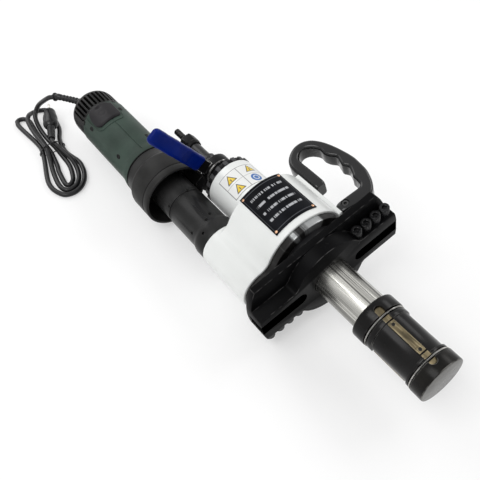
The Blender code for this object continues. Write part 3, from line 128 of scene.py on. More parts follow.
# The flange, the spindle and the cutter head.
FLANGE_FRONT = 10.0
FLANGE_DRUM_R = 58.0
FLANGE_LOBE_R = 28.6
FLANGE_SPIGOT_R = 51.4
FLANGE_SEAT_R = 42.3
FLANGE_BORE_R = 30.3
SPINDLE_R = 30.0
SPINDLE_BORE_R = 24.6
SPINDLE_REAR = -74.0
SPINDLE_FLANGE_R = 48.0
SPINDLE_SPIGOT_R = 33.0
HEAD_BACK = 20.0
HEAD_STEP = 29.5
HEAD_FRONT = 47.0
HEAD_R = 104.5
HEAD_HALF = 53.0
JAW_HALF = 22.7
HUB_FILLET = 9.0
ARM_LEAN = 15.2
SLOT = (-11.0, 5.5)
SLOT_INNER = 38.0
SLOT_FLOOR = 26.0
SCREW_X = 38.0
SCREW_AT = (50.5, 65.0, 79.5, 94.0)
CLAMP_HEAD_R = 6.5
CLAMP_HEAD_H = 12.0
CLAMP_SHANK_R = 4.0

# The expanding mandrel.
SHAFT_R = 24.0
SHAFT_REAR = -100.0
TAIL_R = 12.0
TAIL_REAR = -205.0
NOSE_R = 8.8
NOSE_REAR = -237.0
DRAW_BORE_R = 6.4
COLLAR_X = (114.3, 131.5)
COLLAR_R = 30.2
BODY_X = (131.9, 200.2)
LIP_R = 29.2
LIP_END = 142.4
BODY_R = 27.3
GROOVE_R = 27.0
RING_AT = (133.6, 198.6)
RING_WIRE_R = 1.1
RING_R = 28.7
CAP_X = (200.5, CAP_FRONT)
JAW_X = (121.5, 206.5)
JAW_WIDE = 9.0
JAW_TOP = 27.8
JAW_ANGLES = (105.0, 225.0, 345.0)
JAW_TONGUE = 25.0
JAW_HEEL = 15.0
JAW_SCREWS = (147.5, 185.4)
JAW_STEPS = (142.4, 190.0)
BODY_BORE_R = 21.0
CONE_X = (148.0, 190.0)
CONE_R = (8.0, 18.0)
DRAWBAR_R = 6.0
DRAWBAR_REAR = -284.0
DRAWBAR_STEP = -262.0
DRAW_THREAD_R = 4.6
DRAW_THREAD_PITCH = 1.25
DRAW_NUT_R = 11.0

# The feed nut, its ratchet and the lever.
NUT_FLANGE_R = 29.5
NUT_FLANGE_X = (-150.4, -139.0)
GUIDE_BORE_R = 25.0
NUT_STEM_R = 18.0
RATCHET_TEETH = 16
RATCHET_R = (15.6, 14.4)
LEVER_X = -183.5
STEM_REAR = LEVER_X + 7.5
LEVER_THICK = 6.0
LEVER_WIDE = 18.0
LEVER_OFFSET = 5.5
LEVER_ANGLE = 129.0
LEVER_TIP = 136.5
LEVER_HUB_R = 21.0
LEVER_BORE_R = 16.3
SLEEVE_ROOT = 36.5
SLEEVE_HALF = 5.0
PAWL_ANGLE = 219.0

# The drive tube, the gearbox bell and the motor.
TUBE_R = 27.5
TUBE_FOOT_R = 31.0
TUBE_X = (-235.6, -85.4)
TUBE_STEP = -105.0
TUBE_GROOVE_X = (-168.0, -164.6)
TUBE_BORE_R = 19.0
TUBE_SCREWS = (
    (-169.5, 80.2), (-170.9, 153.9), (-116.0, 84.4), (-110.5, 103.3), (-115.3, 158.0), (-98.0, 132.7),
)
BELL_R = 46.0
BELL_X = (-254.0, -192.0)
BELL_FLOOR = -236.0
BELL_SCREW_CIRCLE_R = 34.8
HOUSING_R = 36.0
HOUSING_BORE_R = 32.3
HOUSING_X = (-388.0, -254.4)
REAR_CAP_X = (-431.0, -388.4)
REAR_CAP_R = HOUSING_R - 1.0
DRIVE_R = 8.0
SWITCH_ROWS = [
    (71.6, -379.0, -356.0), (75.0, -381.2, -350.0), (79.0, -383.0, -347.4), (85.0, -385.2, -346.6),
    (92.0, -386.8, -346.2), (100.0, -387.8, -346.0), (108.0, -387.8, -346.0), (116.0, -387.8, -346.4),
    (124.0, -387.4, -347.0), (129.5, -384.8, -348.0), (134.5, -377.0, -351.8), (138.5, -370.0, -357.0),
]
SWITCH_THICK = 2.6
SWITCH_DIMPLE = (-379.5, 106.3)
SWITCH_DISC = (-365.5, 106.8)
LEDGE = (
    (-354.0, 68.6), (-346.0, 71.5), (-341.0, 78.0), (-339.8, 90.0), (-339.8, 109.0), (-341.2, 127.0),
    (-345.0, 136.0), (-354.0, 142.0), (-370.0, 143.6), (-386.0, 143.0),
)
SCREW_COVERS = ((-364.7, 61.6), (-366.0, 151.6), (-289.0, 62.0), (-289.0, 150.0))
VENTS = 11
VENT_START = 45.0
VENT_STEP = 11.0
VENT_HALF = 1.9

# The cord: its route's points are those of the CAD's own cord.
CORD_R = 3.7
CORD_STEP = 4.2
TIE_X = -435.0
TIE_WIRE_R = 0.75
TIE_LIFT = 2.0
CORD_REST = 0.5
CORD_FLOOR = -71.0
# The cord's route in order; a point without a height lies on the floor.
CORD_ROUTE = [
    # From the sleeve down to the floor.
    (-488.7, -95.9, -19.0), (-494.6, -99.6, -21.4), (-501.2, -103.2, -25.6), (-523.3, -112.4, -46.7),
    (-525.5, -120.6, -59.2), (-512.7, -127.5, -64.6), (-481.7, -130.9), (-418.0, -130.6),
    # The inner loop.
    (-386.3, -132.1), (-356.4, -142.4), (-352.2, -154.7), (-383.6, -151.2), (-399.0, -147.0),
    (-430.4, -141.7),
    # The small loop.
    (-462.3, -140.2), (-494.1, -138.1), (-525.8, -135.3), (-537.3, -144.4), (-526.3, -154.1),
    (-462.8, -149.2),
    # The outer loop.
    (-431.6, -154.0), (-371.3, -174.4), (-340.4, -170.0), (-331.9, -157.1), (-335.0, -141.7),
    (-345.5, -129.8), (-359.3, -121.9), (-374.6, -117.5), (-390.4, -116.4), (-421.7, -122.3),
    # The upper loop.
    (-452.7, -116.5), (-482.0, -103.8), (-528.8, -98.3), (-540.4, -108.5), (-538.2, -123.3, -68.1),
    (-527.2, -133.6, -63.1), (-512.9, -140.4, -63.4), (-481.3, -144.1, -63.6), (-433.5, -146.1, -63.6),
    # The second loop and the plug end.
    (-388.0, -158.6), (-356.7, -163.9), (-342.0, -159.0), (-343.2, -144.2), (-354.7, -133.4),
    (-369.4, -127.1), (-384.9, -124.1, -69.1), (-400.1, -124.8, -64.7), (-426.0, -129.3, -62.9),
    (-441.9, -131.5, -62.0), (-449.0, -129.5, -60.9),
]
RELIEF_R = 6.0
RELIEF = [
    (-427.5, -61.81, -20.93), (-438.0, -62.3, -20.9), (-450.0, -66.5, -20.4), (-463.0, -74.6, -19.4),
    (-475.0, -85.0, -17.6),
]
PLUG_SECTIONS = [
    (0.0, 4.9, 4.9), (2.0, 5.6, 5.6), (24.0, 6.4, 6.4), (26.0, 8.2, 7.6), (32.0, 11.4, 10.2),
    (46.0, 11.6, 10.8), (54.0, 10.0, 10.8), (60.0, 9.2, 10.6), (61.5, 8.4, 9.8),
]
PIN_R = 2.0
PIN_APART = 5.0
PIN_LONG = 13.5

# The camera stands where the photograph's did.
CAMERA_AT = (362.4, -368.1, 598.7)
CAMERA_AZIMUTH = 53.3
CAMERA_ELEVATION = 48.5
FOCAL_PIXELS = 653.0
PHOTO_PIXELS = 480.0
SENSOR_MM = 36.0

# The lamps: name, place in metres, size in metres and power in watts.
WORLD_STRENGTH = 0.54
FLOOR_WHITE = 0.45
FLOOR_HALF = 6000.0
LAMP_AIM = (-0.05, 0.0, 0.05)
LAMPS = (
    ("key_softbox", (0.1, -1.1, 1.7), (1.2, 0.9), 16.0),
    ("fill_softbox", (-1.5, -0.4, 1.2), (1.0, 1.0), 7.0),
    ("back_softbox", (0.2, 1.4, 1.4), (1.4, 0.6), 9.0),
)


def operation(name, swapped=False):
    """A method that adds one Math node; swapped puts the value itself last."""

    def method(self, *others):
        values = (*others, self) if swapped else (self, *others)
        return self.paint.add("Math", {"operation": name}, dict(enumerate(values)))

    return method


class Value:
    """A shader socket whose arithmetic adds Math nodes to its tree."""

    __add__ = operation("ADD")
    __sub__ = operation("SUBTRACT")
    __rsub__ = operation("SUBTRACT", swapped=True)
    __mul__ = operation("MULTIPLY")
    __truediv__ = operation("DIVIDE")
    __pow__ = operation("POWER")
    __abs__ = operation("ABSOLUTE")
    floor = operation("FLOOR")
    fraction = operation("FRACT")
    most = operation("MAXIMUM")
    least = operation("MINIMUM")

    def __init__(self, paint, socket):
        self.paint = paint
        self.socket = socket

    def rise(self, low, high):
        """0 below low, 1 above high and smooth between, or the other way round where low is above high."""
        ends = {1: low, 2: high, 3: 0.0, 4: 1.0} if low < high else {1: high, 2: low, 3: 1.0, 4: 0.0}
        return self.paint.add("MapRange", {"interpolation_type": "SMOOTHSTEP"}, {0: self, **ends})

    def inside(self, low, high, soft):
        return self.rise(low - soft, low + soft) * self.rise(high + soft, high - soft)


class Paint:
    """A shader tree built from values: a new material's, or the one given."""

    def __init__(self, name, tree=None):
        self.tree = tree
        if not tree:
            self.material = bpy.data.materials.new(name)
            self.material.use_nodes = True
            self.tree = self.material.node_tree
            self.shader = self.tree.nodes["Principled BSDF"]

    def put(self, socket, value):
        if isinstance(value, Value):
            self.tree.links.new(value.socket, socket)
        else:
            socket.default_value = (*value, 1.0) if socket.type == "RGBA" else value

    def add(self, kind, settings=None, sockets=None, out=0):
        """Adds a node: its settings first, then the values or links of its sockets."""
        node = self.tree.nodes.new("ShaderNode" + kind)
        for key, value in (settings or {}).items():
            setattr(node, key, value)
        for key, value in (sockets or {}).items():
            self.put(node.inputs[key], value)
        return Value(self, node.outputs[out])

    def place(self, scale=(1.0, 1.0, 1.0), turn=(0.0, 0.0, 0.0), shift=(0.0, 0.0, 0.0)):
        """Object coordinates shifted, turned and scaled, in metres."""
        at = self.add("TexCoord", out="Object")
        moved = self.add("VectorMath", {"operation": "SUBTRACT"}, {0: at, 1: shift})
        return self.add("Mapping", {}, {"Vector": moved, "Rotation": turn, "Scale": scale})

    def split(self, vector):
        node = self.tree.nodes.new("ShaderNodeSeparateXYZ")
        self.put(node.inputs[0], vector)
        return [Value(self, output) for output in node.outputs]

    def from_axes(self):
        """The coordinates along and from the machine's own axes, in metres."""
        return self.split(self.place(shift=tuple(ORIGIN * MM)))

    def on_map(self, name):
        return self.split(self.add("UVMap", {"uv_map": name}))

    def noise(self, scale, detail=3.0, vector=None, rough=0.5, warp=0.0):
        sockets = {"Scale": scale, "Detail": detail, "Roughness": rough, "Distortion": warp}
        return self.add("TexNoise", {}, {**sockets, "Vector": vector or self.place()})

    def mix(self, factor, one, two):
        return self.add("Mix", {"data_type": "RGBA"}, {0: factor, 6: one, 7: two}, 2)

    def layers(self, base, *coats):
        """A base with (share, colour) coats laid over it one after another."""
        for share, colour in coats:
            base = self.mix(share, base, colour)
        return base

    def worn(self):
        return self.add("Attribute", {"attribute_name": "worn"}, {}, "Fac")

    def bump(self, height, distance, strength):
        return self.add("Bump", {}, {"Height": height, "Distance": distance, "Strength": strength})

    def finish(self, **sockets):
        for key, value in sockets.items():
            self.put(self.shader.inputs[key.replace("_", " ").title().replace("Ior", "IOR")], value)
        return self.material


def linked(name, data):
    obj = bpy.data.objects.new(name, data)
    bpy.context.scene.collection.objects.link(obj)
    return obj


class Growth:
    """A Geometry Nodes tree with named inputs, and the plain mesh that it grows."""

    def __init__(self, name, centre=None, **inputs):
        self.tree = bpy.data.node_groups.new(name.replace("_", " "), "GeometryNodeTree")
        self.tree.is_modifier = True
        self.values = {}
        if centre:
            inputs.update(
                axis_x=ORIGIN.x * MM, axis_y=(ORIGIN.y + centre[0]) * MM, axis_z=(ORIGIN.z + centre[1]) * MM
            )
        self.socket("Geometry", "Geometry")
        for key, value in inputs.items():
            self.values[self.socket(self.label(key), "Int" if isinstance(value, int) else "Float")] = value
        self.socket("Geometry", "Geometry", "OUTPUT")
        self.source = self.tree.nodes.new("NodeGroupInput")

    def socket(self, label, kind, way="INPUT"):
        item = self.tree.interface.new_socket(label, in_out=way, socket_type="NodeSocket" + kind)
        return item.identifier

    def label(self, key):
        return key.replace("_", " ").capitalize()

    def given(self, key):
        return self.source.outputs[self.label(key)]

    def add(self, kind, sockets=None, **settings):
        """Adds a node: its settings first, then the values or links of its sockets."""
        node = self.tree.nodes.new(kind if kind.startswith("Shader") else "GeometryNode" + kind)
        for key, value in settings.items():
            setattr(node, key, value)
        for key, value in (sockets or {}).items():
            for each in value if isinstance(value, list) else [value]:
                if isinstance(each, bpy.types.NodeSocket):
                    self.tree.links.new(each, node.inputs[key])
                else:
                    node.inputs[key].default_value = each
        return node.outputs[0]

    def maths(self, operation, one, two=0.0):
        return self.add("ShaderNodeMath", {0: one, 1: two}, operation=operation)

    def plus(self, one, two):
        return self.maths("ADD", one, two)

    def times(self, one, two):
        return self.maths("MULTIPLY", one, two)

    def point(self, x=0.0, y=0.0, z=0.0):
        return self.add("ShaderNodeCombineXYZ", {0: x, 1: y, 2: z})

    def row(self, count, offset=(0.0, 0.0, 0.0)):
        return self.add("MeshLine", {"Count": count, "Offset": offset}, mode="OFFSET")

    def copies(self, points, **sockets):
        """The base mesh copied to every point."""
        sockets.update(Points=points, Instance=self.given("geometry"))
        return self.add("RealizeInstances", {0: self.add("InstanceOnPoints", sockets)})

    def on_axis(self, geometry):
        axis = self.point(*(self.given("axis_" + letter) for letter in "xyz"))
        return self.add("Transform", {"Geometry": geometry, "Translation": axis})

    def pipe(self, curve, sides, radius):
        """A round wire along a curve."""
        section = self.add("CurvePrimitiveCircle", {"Resolution": sides, "Radius": radius})
        wire = self.add("CurveToMesh", {"Curve": curve, "Profile Curve": section, "Fill Caps": True})
        return self.add("SetShadeSmooth", {"Geometry": wire})

    def grow(self, name, result, material, base=None):
        """Ends the tree, runs it on a base mesh, and leaves a plain mesh object."""
        real = self.add("RealizeInstances", {0: result})
        painted = self.add("SetMaterial", {"Geometry": real, "Material": material})
        end = self.tree.nodes.new("NodeGroupOutput")
        self.tree.links.new(painted, end.inputs[0])
        obj = base or linked(name, bpy.data.meshes.new(name + "_base"))
        modifier = obj.modifiers.new(self.tree.name, "NODES")
        modifier.node_group = self.tree
        for identifier, value in self.values.items():
            modifier[identifier] = value
        settle(obj)
        obj.name = name
        return obj


def turned_by(point, angle, centre=MAIN):
    a, b = point
    sine, cosine = math.sin(math.radians(angle)), math.cos(math.radians(angle))
    return centre[0] + a * cosine - b * sine, centre[1] + a * sine + b * cosine


def polar(radius, angle, centre=MAIN):
    return turned_by((radius, 0.0), angle, centre)


def arc(centre, radius, start, end, steps):
    return [polar(radius, start + (end - start) * i / steps, centre) for i in range(steps + 1)]


def oval(side, up, steps=SMALL_ROUND):
    turns = [math.tau * i / steps for i in range(steps)]
    return [(side * math.cos(t), up * math.sin(t)) for t in turns]


def rail_point(x, out, across):
    """A point by its distance out from the main axis in the handle's plane, and across that plane."""
    return Vector((x, *turned_by((out, across), LEAN)))


def skin(bm, rings, loop):
    """Joins rings of points by walls and closes the ends; a ring of one point is a pole."""
    made = [[bm.verts.new(point) for point in ring] for ring in rings]
    pairs = list(zip(made, made[1:]))
    if loop:
        pairs.append((made[-1], made[0]))
    for one, two in pairs:
        count = max(len(one), len(two))
        for i in range(count):
            j = (i + 1) % count
            corners = (one[i % len(one)], one[j % len(one)], two[j % len(two)], two[i % len(two)])
            face = list(dict.fromkeys(corners))
            if len(face) > 2:
                bm.faces.new(face)
    if not loop:
        for end in (made[0], made[-1]):
            if len(end) > 2:
                bm.faces.new(end)


# A shape is a list of skins: each has its rings, and whether the last ring meets the first.
def turn(profile, centre=MAIN, steps=ROUND):
    """Revolved (x, radius) points; where none of them is on the axis the section is a closed ring."""
    rings = []
    for x, r in profile:
        rings.append([(x, *polar(r, 360.0 * i / steps, centre)) for i in range(steps if r > 0 else 1)])
    return [(rings, all(r > 0 for _, r in profile))]


def disc(x0, x1, radius, centre=MAIN, steps=ROUND):
    return turn([(x0, 0), (x0, radius), (x1, radius), (x1, 0)], centre, steps)


def square_to(axis):
    """An axis made one long, and two directions square to it."""
    axis = Vector(axis).normalized()
    side = axis.orthogonal().normalized()
    return axis, side, axis.cross(side)


def spin(base, axis, profile, steps=SMALL_ROUND):
    """(distance, radius) points revolved about any axis."""
    axis, side, over = square_to(axis)
    rings = []
    for d, r in profile:
        middle = Vector(base) + axis * d
        turns = [math.tau * i / steps for i in range(steps if r > 0 else 1)]
        rings.append([middle + r * (math.cos(t) * side + math.sin(t) * over) for t in turns])
    return [(rings, all(r > 0 for _, r in profile))]


def rod(start, end, radius, steps=SMALL_ROUND):
    way = Vector(end) - Vector(start)
    return spin(start, way, [(0, 0), (0, radius), (way.length, radius), (way.length, 0)], steps)


def prism(outline, x0, x1):
    return [([[(x, *point) for point in outline] for x in (x0, x1)], False)]


def block(x, y, z, lean=0.0, centre=MAIN):
    """A box by its ends along x, and out and across from a centre in a leaning plane."""
    corners = [(y[0], z[0]), (y[1], z[0]), (y[1], z[1]), (y[0], z[1])]
    return prism([turned_by(corner, lean, centre) for corner in corners], *x)


def sweep(path, sections, up=(0.0, 0.0, 1.0)):
    """Closed sections of (side, up) points carried along a path, each square to the path."""
    up = Vector(up).normalized()
    rings = []
    last = len(path) - 1
    for i, (at, section) in enumerate(zip(path, sections)):
        along = (path[min(i + 1, last)] - path[max(i - 1, 0)]).normalized()
        side = along.cross(up).normalized()
        over = side.cross(along)
        rings.append([at + side * a + over * b for a, b in section])
    return [(rings, False)]


def curve_at(near, t):
    """The Catmull-Rom curve between the middle two of four near numbers."""
    a, b, c, d = near
    bend = (2 * a - 5 * b + 4 * c - d) * t * t + (3 * b - a - 3 * c + d) * t**3
    return 0.5 * (2 * b + (c - a) * t + bend)


def smooth_path(points, spacing):
    """Points along a curve through tuples of any length, about spacing apart by their first three."""
    out = []
    last = len(points) - 1
    for i in range(last):
        near = [points[max(i - 1, 0)], points[i], points[i + 1], points[min(i + 2, last)]]
        count = max(1, round(math.dist(points[i][:3], points[i + 1][:3]) / spacing))
        out += [tuple(curve_at(numbers, k / count) for numbers in zip(*near)) for k in range(count)]
    return out + [tuple(points[-1])]


def corner(near, far):
    """The angle between the line of the two axes and one side of the triangle on it."""
    return math.degrees(math.acos((near**2 + AXES_APART**2 - far**2) / (2 * near * AXES_APART)))


def figure_eight(grow, drum_r=DRUM_R, lobe_r=LOBE_R, waist_r=WAIST_R, fine=96):
    """The drum and lobe joined by two concave waists, the outline let out or taken in by an offset."""
    drum_side = drum_r + waist_r
    lobe_side = lobe_r + waist_r
    a = corner(drum_side, lobe_side)
    b = corner(lobe_side, drum_side)
    points = arc(MAIN, drum_r + grow, -180 + a, 180 - a, fine)
    lobe = (-AXES_APART, 0.0)
    points += arc(polar(drum_side, 180 - a), waist_r - grow, -a, -180 + b, 14)[1:-1]
    points += arc(lobe, lobe_r + grow, b, 360 - b, fine // 2)
    points += arc(polar(drum_side, -180 + a), waist_r - grow, 180 - b, a, 14)[1:-1]
    return [turned_by(point, LEAN) for point in points]


def pillow(outline_at, x0, x1, rear_rim, front_rim, steps=5):
    """A prism whose rims are rounded: outline_at gives the outline for each offset."""
    rings = []
    for x, rim, way in ((x0, rear_rim, 1), (x1, front_rim, -1)):
        rims = [(x, 0.0)]
        if rim > 0:
            quarter = [math.pi / 2 * k / steps for k in range(steps + 1)]
            rims = [(x + way * rim * (1 - math.cos(t)), -rim * (1 - math.sin(t))) for t in quarter]
        if way < 0:
            rims.reverse()
        rings += [[(at, *point) for point in outline_at(offset)] for at, offset in rims]
    return [(rings, False)]


def tooth_ring(teeth, outer, inner, slope=0.1, fine=2):
    """A castellated outline: wide teeth between two radii."""
    step = 360.0 / teeth
    half = step / 4
    lean = step * slope / 2
    points = []
    for i in range(teeth):
        points += arc(MAIN, outer, step * i - half + lean, step * i + half - lean, fine)
        points += arc(MAIN, inner, step * i + half + lean, step * i + step - half - lean, fine)
    return points


def rounded_section(inner, outer, half, corner, steps=7):
    """A rectangle from -inner to outer by half each way, with rounded corners."""
    points = []
    for a, b, start in ((outer, half, 0), (-inner, half, 90), (-inner, -half, 180), (outer, -half, 270)):
        a -= math.copysign(corner, a)
        b -= math.copysign(corner, b)
        points += arc((a, b), corner, start, start + 90, steps)
    return points


def smooth(obj, sharp=32.0):
    obj.data.shade_smooth()
    obj.data.set_sharp_from_angle(angle=math.radians(sharp))


def made(bm, name, material=None, origin=ORIGIN):
    """Turns a mesh drawn in millimetres from the machine's axes into an object where the CAD stands."""
    bmesh.ops.remove_doubles(bm, verts=bm.verts, dist=0.001)
    bmesh.ops.recalc_face_normals(bm, faces=bm.faces)
    bmesh.ops.transform(bm, matrix=Matrix.Scale(MM, 4) @ Matrix.Translation(origin), verts=bm.verts)
    mesh = bpy.data.meshes.new(name)
    bm.to_mesh(mesh)
    bm.free()
    if material:
        mesh.materials.append(material)
    obj = linked(name, mesh)
    smooth(obj)
    return obj


def drawn(shape, name, material=None, origin=ORIGIN):
    bm = bmesh.new()
    for rings, loop in shape:
        skin(bm, rings, loop)
    return made(bm, name, material, origin)


def settle(obj):
    """Applies the object's modifiers to its mesh."""
    bpy.context.view_layer.update()
    mesh = bpy.data.meshes.new_from_object(obj.evaluated_get(bpy.context.evaluated_depsgraph_get()))
    obj.modifiers.clear()
    old = obj.data
    obj.data = mesh
    mesh.name = obj.name
    bpy.data.meshes.remove(old)


def combine(obj, operation, other):
    """Joins or cuts by another object, which is used up; the material stays the first one."""
    modifier = obj.modifiers.new("Combine", "BOOLEAN")
    modifier.operation = operation
    modifier.solver = "EXACT"
    modifier.object = other
    settle(obj)
    bpy.data.objects.remove(other)
    while len(obj.data.materials) > 1:
        obj.data.materials.pop()


def combine_all(obj, operation, shapes):
    for shape in shapes:
        combine(obj, operation, drawn(shape, obj.name + "_tool"))
        bm = bmesh.new()
        bm.from_mesh(obj.data)
        bmesh.ops.remove_doubles(bm, verts=bm.verts, dist=0.02 * MM)
        bmesh.ops.dissolve_degenerate(bm, edges=bm.edges, dist=0.01 * MM)
        bm.to_mesh(obj.data)
        bm.free()


def ease(obj, width, angle=28.0):
    """Rounds the sharp edges and marks the new faces as the ones that wear."""
    bm = bmesh.new()
    bm.from_mesh(obj.data)
    bmesh.ops.dissolve_limit(bm, angle_limit=math.radians(0.6), verts=bm.verts, edges=bm.edges)
    bm.to_mesh(obj.data)
    bm.free()
    obj.data.materials.append(obj.data.materials[0])
    modifier = obj.modifiers.new("Eased edges", "BEVEL")
    modifier.width = width * MM
    modifier.segments = 2
    modifier.limit_method = "ANGLE"
    modifier.angle_limit = math.radians(angle)
    modifier.use_clamp_overlap = False
    modifier.material = 1
    settle(obj)
    mesh = obj.data
    worn = mesh.attributes.new("worn", "FLOAT", "FACE")
    for face in mesh.polygons:
        worn.data[face.index].value = float(face.material_index == 1)
        face.material_index = 0
    mesh.materials.pop(index=1)
    smooth(obj, 40.0)


def dress(piece, body, slot, *nodes):
    """Says what a piece moves with and which CAD nodes it stands for. The slot is not used."""
    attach(piece, body)
    if nodes:
        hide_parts(*nodes)


def piece(name, material, shape, body, slot, *nodes, joined=(), less=(), eased=0.0, angle=28.0, sharp=0.0):
    """Draws a piece, joins and cuts other shapes, rounds its sharp edges and says what it stands for."""
    obj = drawn(shape, name, material)
    combine_all(obj, "UNION", joined)
    combine_all(obj, "DIFFERENCE", less)
    if eased:
        ease(obj, eased, angle)
    if sharp:
        smooth(obj, sharp)
    dress(obj, body, slot, *nodes)
    return obj


def ringed(name, shape, material, count, step, centre=MAIN, start=0.0):
    """Copies of a shape set round an axis by a node tree."""
    growth = Growth(
        name, centre, count=count, step_angle=math.radians(step), first_angle=math.radians(start)
    )
    given = growth.given
    angle = growth.plus(growth.times(growth.add("InputIndex"), given("step_angle")), given("first_angle"))
    copies = growth.copies(growth.row(given("count")), Rotation=growth.point(x=angle))
    obj = growth.grow(name, growth.on_axis(copies), material, drawn(shape, name, origin=Vector()))
    smooth(obj)
    return obj


def shell(name, material, steps, columns, point, map_name=""):
    """A thin curved sheet between two grids of points, with a map across and up it where one is named."""
    bm = bmesh.new()
    layer = bm.loops.layers.uv.new(map_name) if map_name else None
    grid = []
    for i in range(steps + 1):
        grid.append([[bm.verts.new(point(i, k, top)) for top in (0, 1)] for k in range(columns + 1)])

    def face(*corners):
        made_face = bm.faces.new([grid[i][k][top] for i, k, top in corners])
        if layer:
            for loop, (i, k, _) in zip(made_face.loops, corners):
                loop[layer].uv = (i / steps, k / columns)

    for i in range(steps):
        for k in range(columns):
            for top in (0, 1):
                face((i, k, top), (i + 1, k, top), (i + 1, k + 1, top), (i, k + 1, top))
        for k in (0, columns):
            face((i, k, 0), (i + 1, k, 0), (i + 1, k, 1), (i, k, 1))
    for k in range(columns):
        for i in (0, steps):
            face((i, k, 0), (i, k + 1, 0), (i, k + 1, 1), (i, k, 1))
    return made(bm, name, material)


def sheet_on(name, x, angles, inner, thick, map_name, material, steps=48, columns=16):
    """A sheet round the main axis, its map across from the high angle and up towards the rear."""

    def point(i, k, top):
        angle = angles[1] + (angles[0] - angles[1]) * i / steps
        return (x[1] + (x[0] - x[1]) * k / columns, *polar(inner + thick * top, angle))

    return shell(name, material, steps, columns, point, map_name)


def times(share, colour, more=0.0):
    """A colour made darker or lighter."""
    return tuple(min(1.0, c * share + more) for c in colour)


def white_enamel(colour):
    paint = Paint("white_enamel")
    speck = paint.noise(620.0, 2.0).rise(0.72, 0.80)
    cloud = paint.noise(30.0, 3.0)
    base = paint.layers(
        colour, (cloud.rise(0.3, 0.75), times(0.975, colour)), (speck * 0.15, times(0.7, colour)),
        (paint.worn() * 0.2, times(0.75, colour)),
    )
    peel = paint.bump(paint.noise(300.0, 2.0), 0.00005, 0.3)
    return paint.finish(base_color=base, roughness=cloud * 0.1 + 0.27, normal=peel, coat_weight=0.25)


def black_oxide(
    name, colour, rub=0.3, bare=(0.30, 0.295, 0.29), rough=0.36, grain=(1.0, 1.0, 1.0), gleam=0.09
):
    """Blackened steel, satin, with steel showing where edges rub and faint machining lines."""
    paint = Paint(name)
    cloud = paint.noise(30.0, 5.0)
    lines = paint.noise(420.0, 3.0, paint.place(grain))
    patch = paint.noise(85.0, 4.0).rise(0.42, 0.66)
    scuff = paint.noise(190.0, 5.0, warp=1.5).rise(0.66, 0.76) * 0.2
    show = (paint.worn() * patch * rub + scuff * rub).least(1.0)
    return paint.finish(
        base_color=paint.layers(colour, (cloud.rise(0.3, 0.7), times(2.0, colour)), (show, bare)),
        metallic=show * 0.6 + 0.08, roughness=(cloud * 0.18 + rough - 0.09) - show * 0.05,
        normal=paint.bump(lines, 0.00003, 0.3), specular_ior_level=gleam,
    )


def bright_steel(name, colour, along=False):
    """Bright turned steel; along gives streaks down the main axis."""
    paint = Paint(name)
    if along:
        wide = paint.noise(40.0, 4.0, paint.place((0.18, 1.0, 1.0)), 0.6)
        fine = paint.noise(320.0, 3.0, paint.place((0.05, 1.0, 1.0)), 0.6)
    else:
        wide = paint.noise(40.0, 4.0)
        fine = paint.noise(900.0, 2.0, paint.place((1.0, 0.15, 0.15)))
    base = paint.layers(
        times(0.55, colour), (wide.rise(0.35, 0.65), colour),
        (fine.rise(0.48, 0.66) * 0.7, times(1.35, colour)),
        (fine.rise(0.45, 0.3) * 0.7, times(0.3, colour)),
    )
    return paint.finish(
        base_color=base, metallic=0.9, roughness=wide * 0.14 + 0.22, normal=paint.bump(fine, 0.00004, 0.4)
    )


def shaft_steel(colour):
    """The ground shaft: mottled steel with painted reflections, sharp bright and dark streaks down its
    whole length, and a blackened threaded tail.
    """
    paint = Paint("ground_shaft_steel")
    wide = paint.noise(70.0, 3.0, paint.place((0.03, 1.0, 1.0)), 0.5)
    fine = paint.noise(330.0, 4.0, paint.place((0.008, 1.0, 1.0)), 0.6)
    hair = paint.noise(900.0, 2.0, paint.place((0.02, 1.0, 1.0)), 0.6)
    tail = paint.from_axes()[0].rise((SHAFT_REAR + 1.2) * MM, (SHAFT_REAR + 0.2) * MM)
    base = paint.layers(
        times(0.62, colour), (wide.rise(0.40, 0.60), colour),
        # Painted reflections: the sharp bright and dark streaks that run down the shaft; the wider mottling
        # is the steel's own tone.
        (fine.rise(0.54, 0.60) * 0.85, times(1.40, colour)),
        (fine.rise(0.45, 0.39) * 0.85, times(0.16, colour)),
        (hair.rise(0.56, 0.64) * 0.35, times(0.3, colour)),
        (tail, (0.012, 0.012, 0.013)),
    )
    return paint.finish(
        base_color=base, metallic=0.92 - tail * 0.6, roughness=wide * 0.12 + 0.20,
        normal=paint.bump(fine, 0.00004, 0.35),
    )


def burnished_steel():
    """The flange's dark face: brown-black, with painted highlights in bright sectors on one side of its
    outer rim.
    """
    paint = Paint("burnished_steel")
    _, y, z = paint.from_axes()
    radius = (y * y + z * z) ** 0.5
    way = paint.add("CombineXYZ", {}, {0: 0.37, 1: y / radius, 2: z / radius})
    # Painted highlight: bright sectors by angle, kept to the outer rim and to one side of the flange only.
    highlight_sector = paint.noise(2.6, 4.0, way, 0.62)
    patch = paint.noise(40.0, 5.0, rough=0.62, warp=0.8)
    fine = paint.noise(260.0, 4.0)
    rim = radius.rise(0.044, 0.052) * (z * 0.8 + y).rise(-0.040, -0.012)
    painted_highlight = (highlight_sector.rise(0.50, 0.60) * rim * (patch * 0.5 + 0.6)).least(1.0)
    base = paint.layers(
        (0.010, 0.0095, 0.0092), (painted_highlight, (0.36, 0.37, 0.37)),
        (fine.rise(0.6, 0.75) * 0.35, (0.05, 0.048, 0.046))
    )
    return paint.finish(
        base_color=base, metallic=painted_highlight * 0.7 + 0.12, roughness=fine * 0.15 + 0.24,
        normal=paint.bump(fine, 0.00004, 0.4), specular_ior_level=0.18,
    )


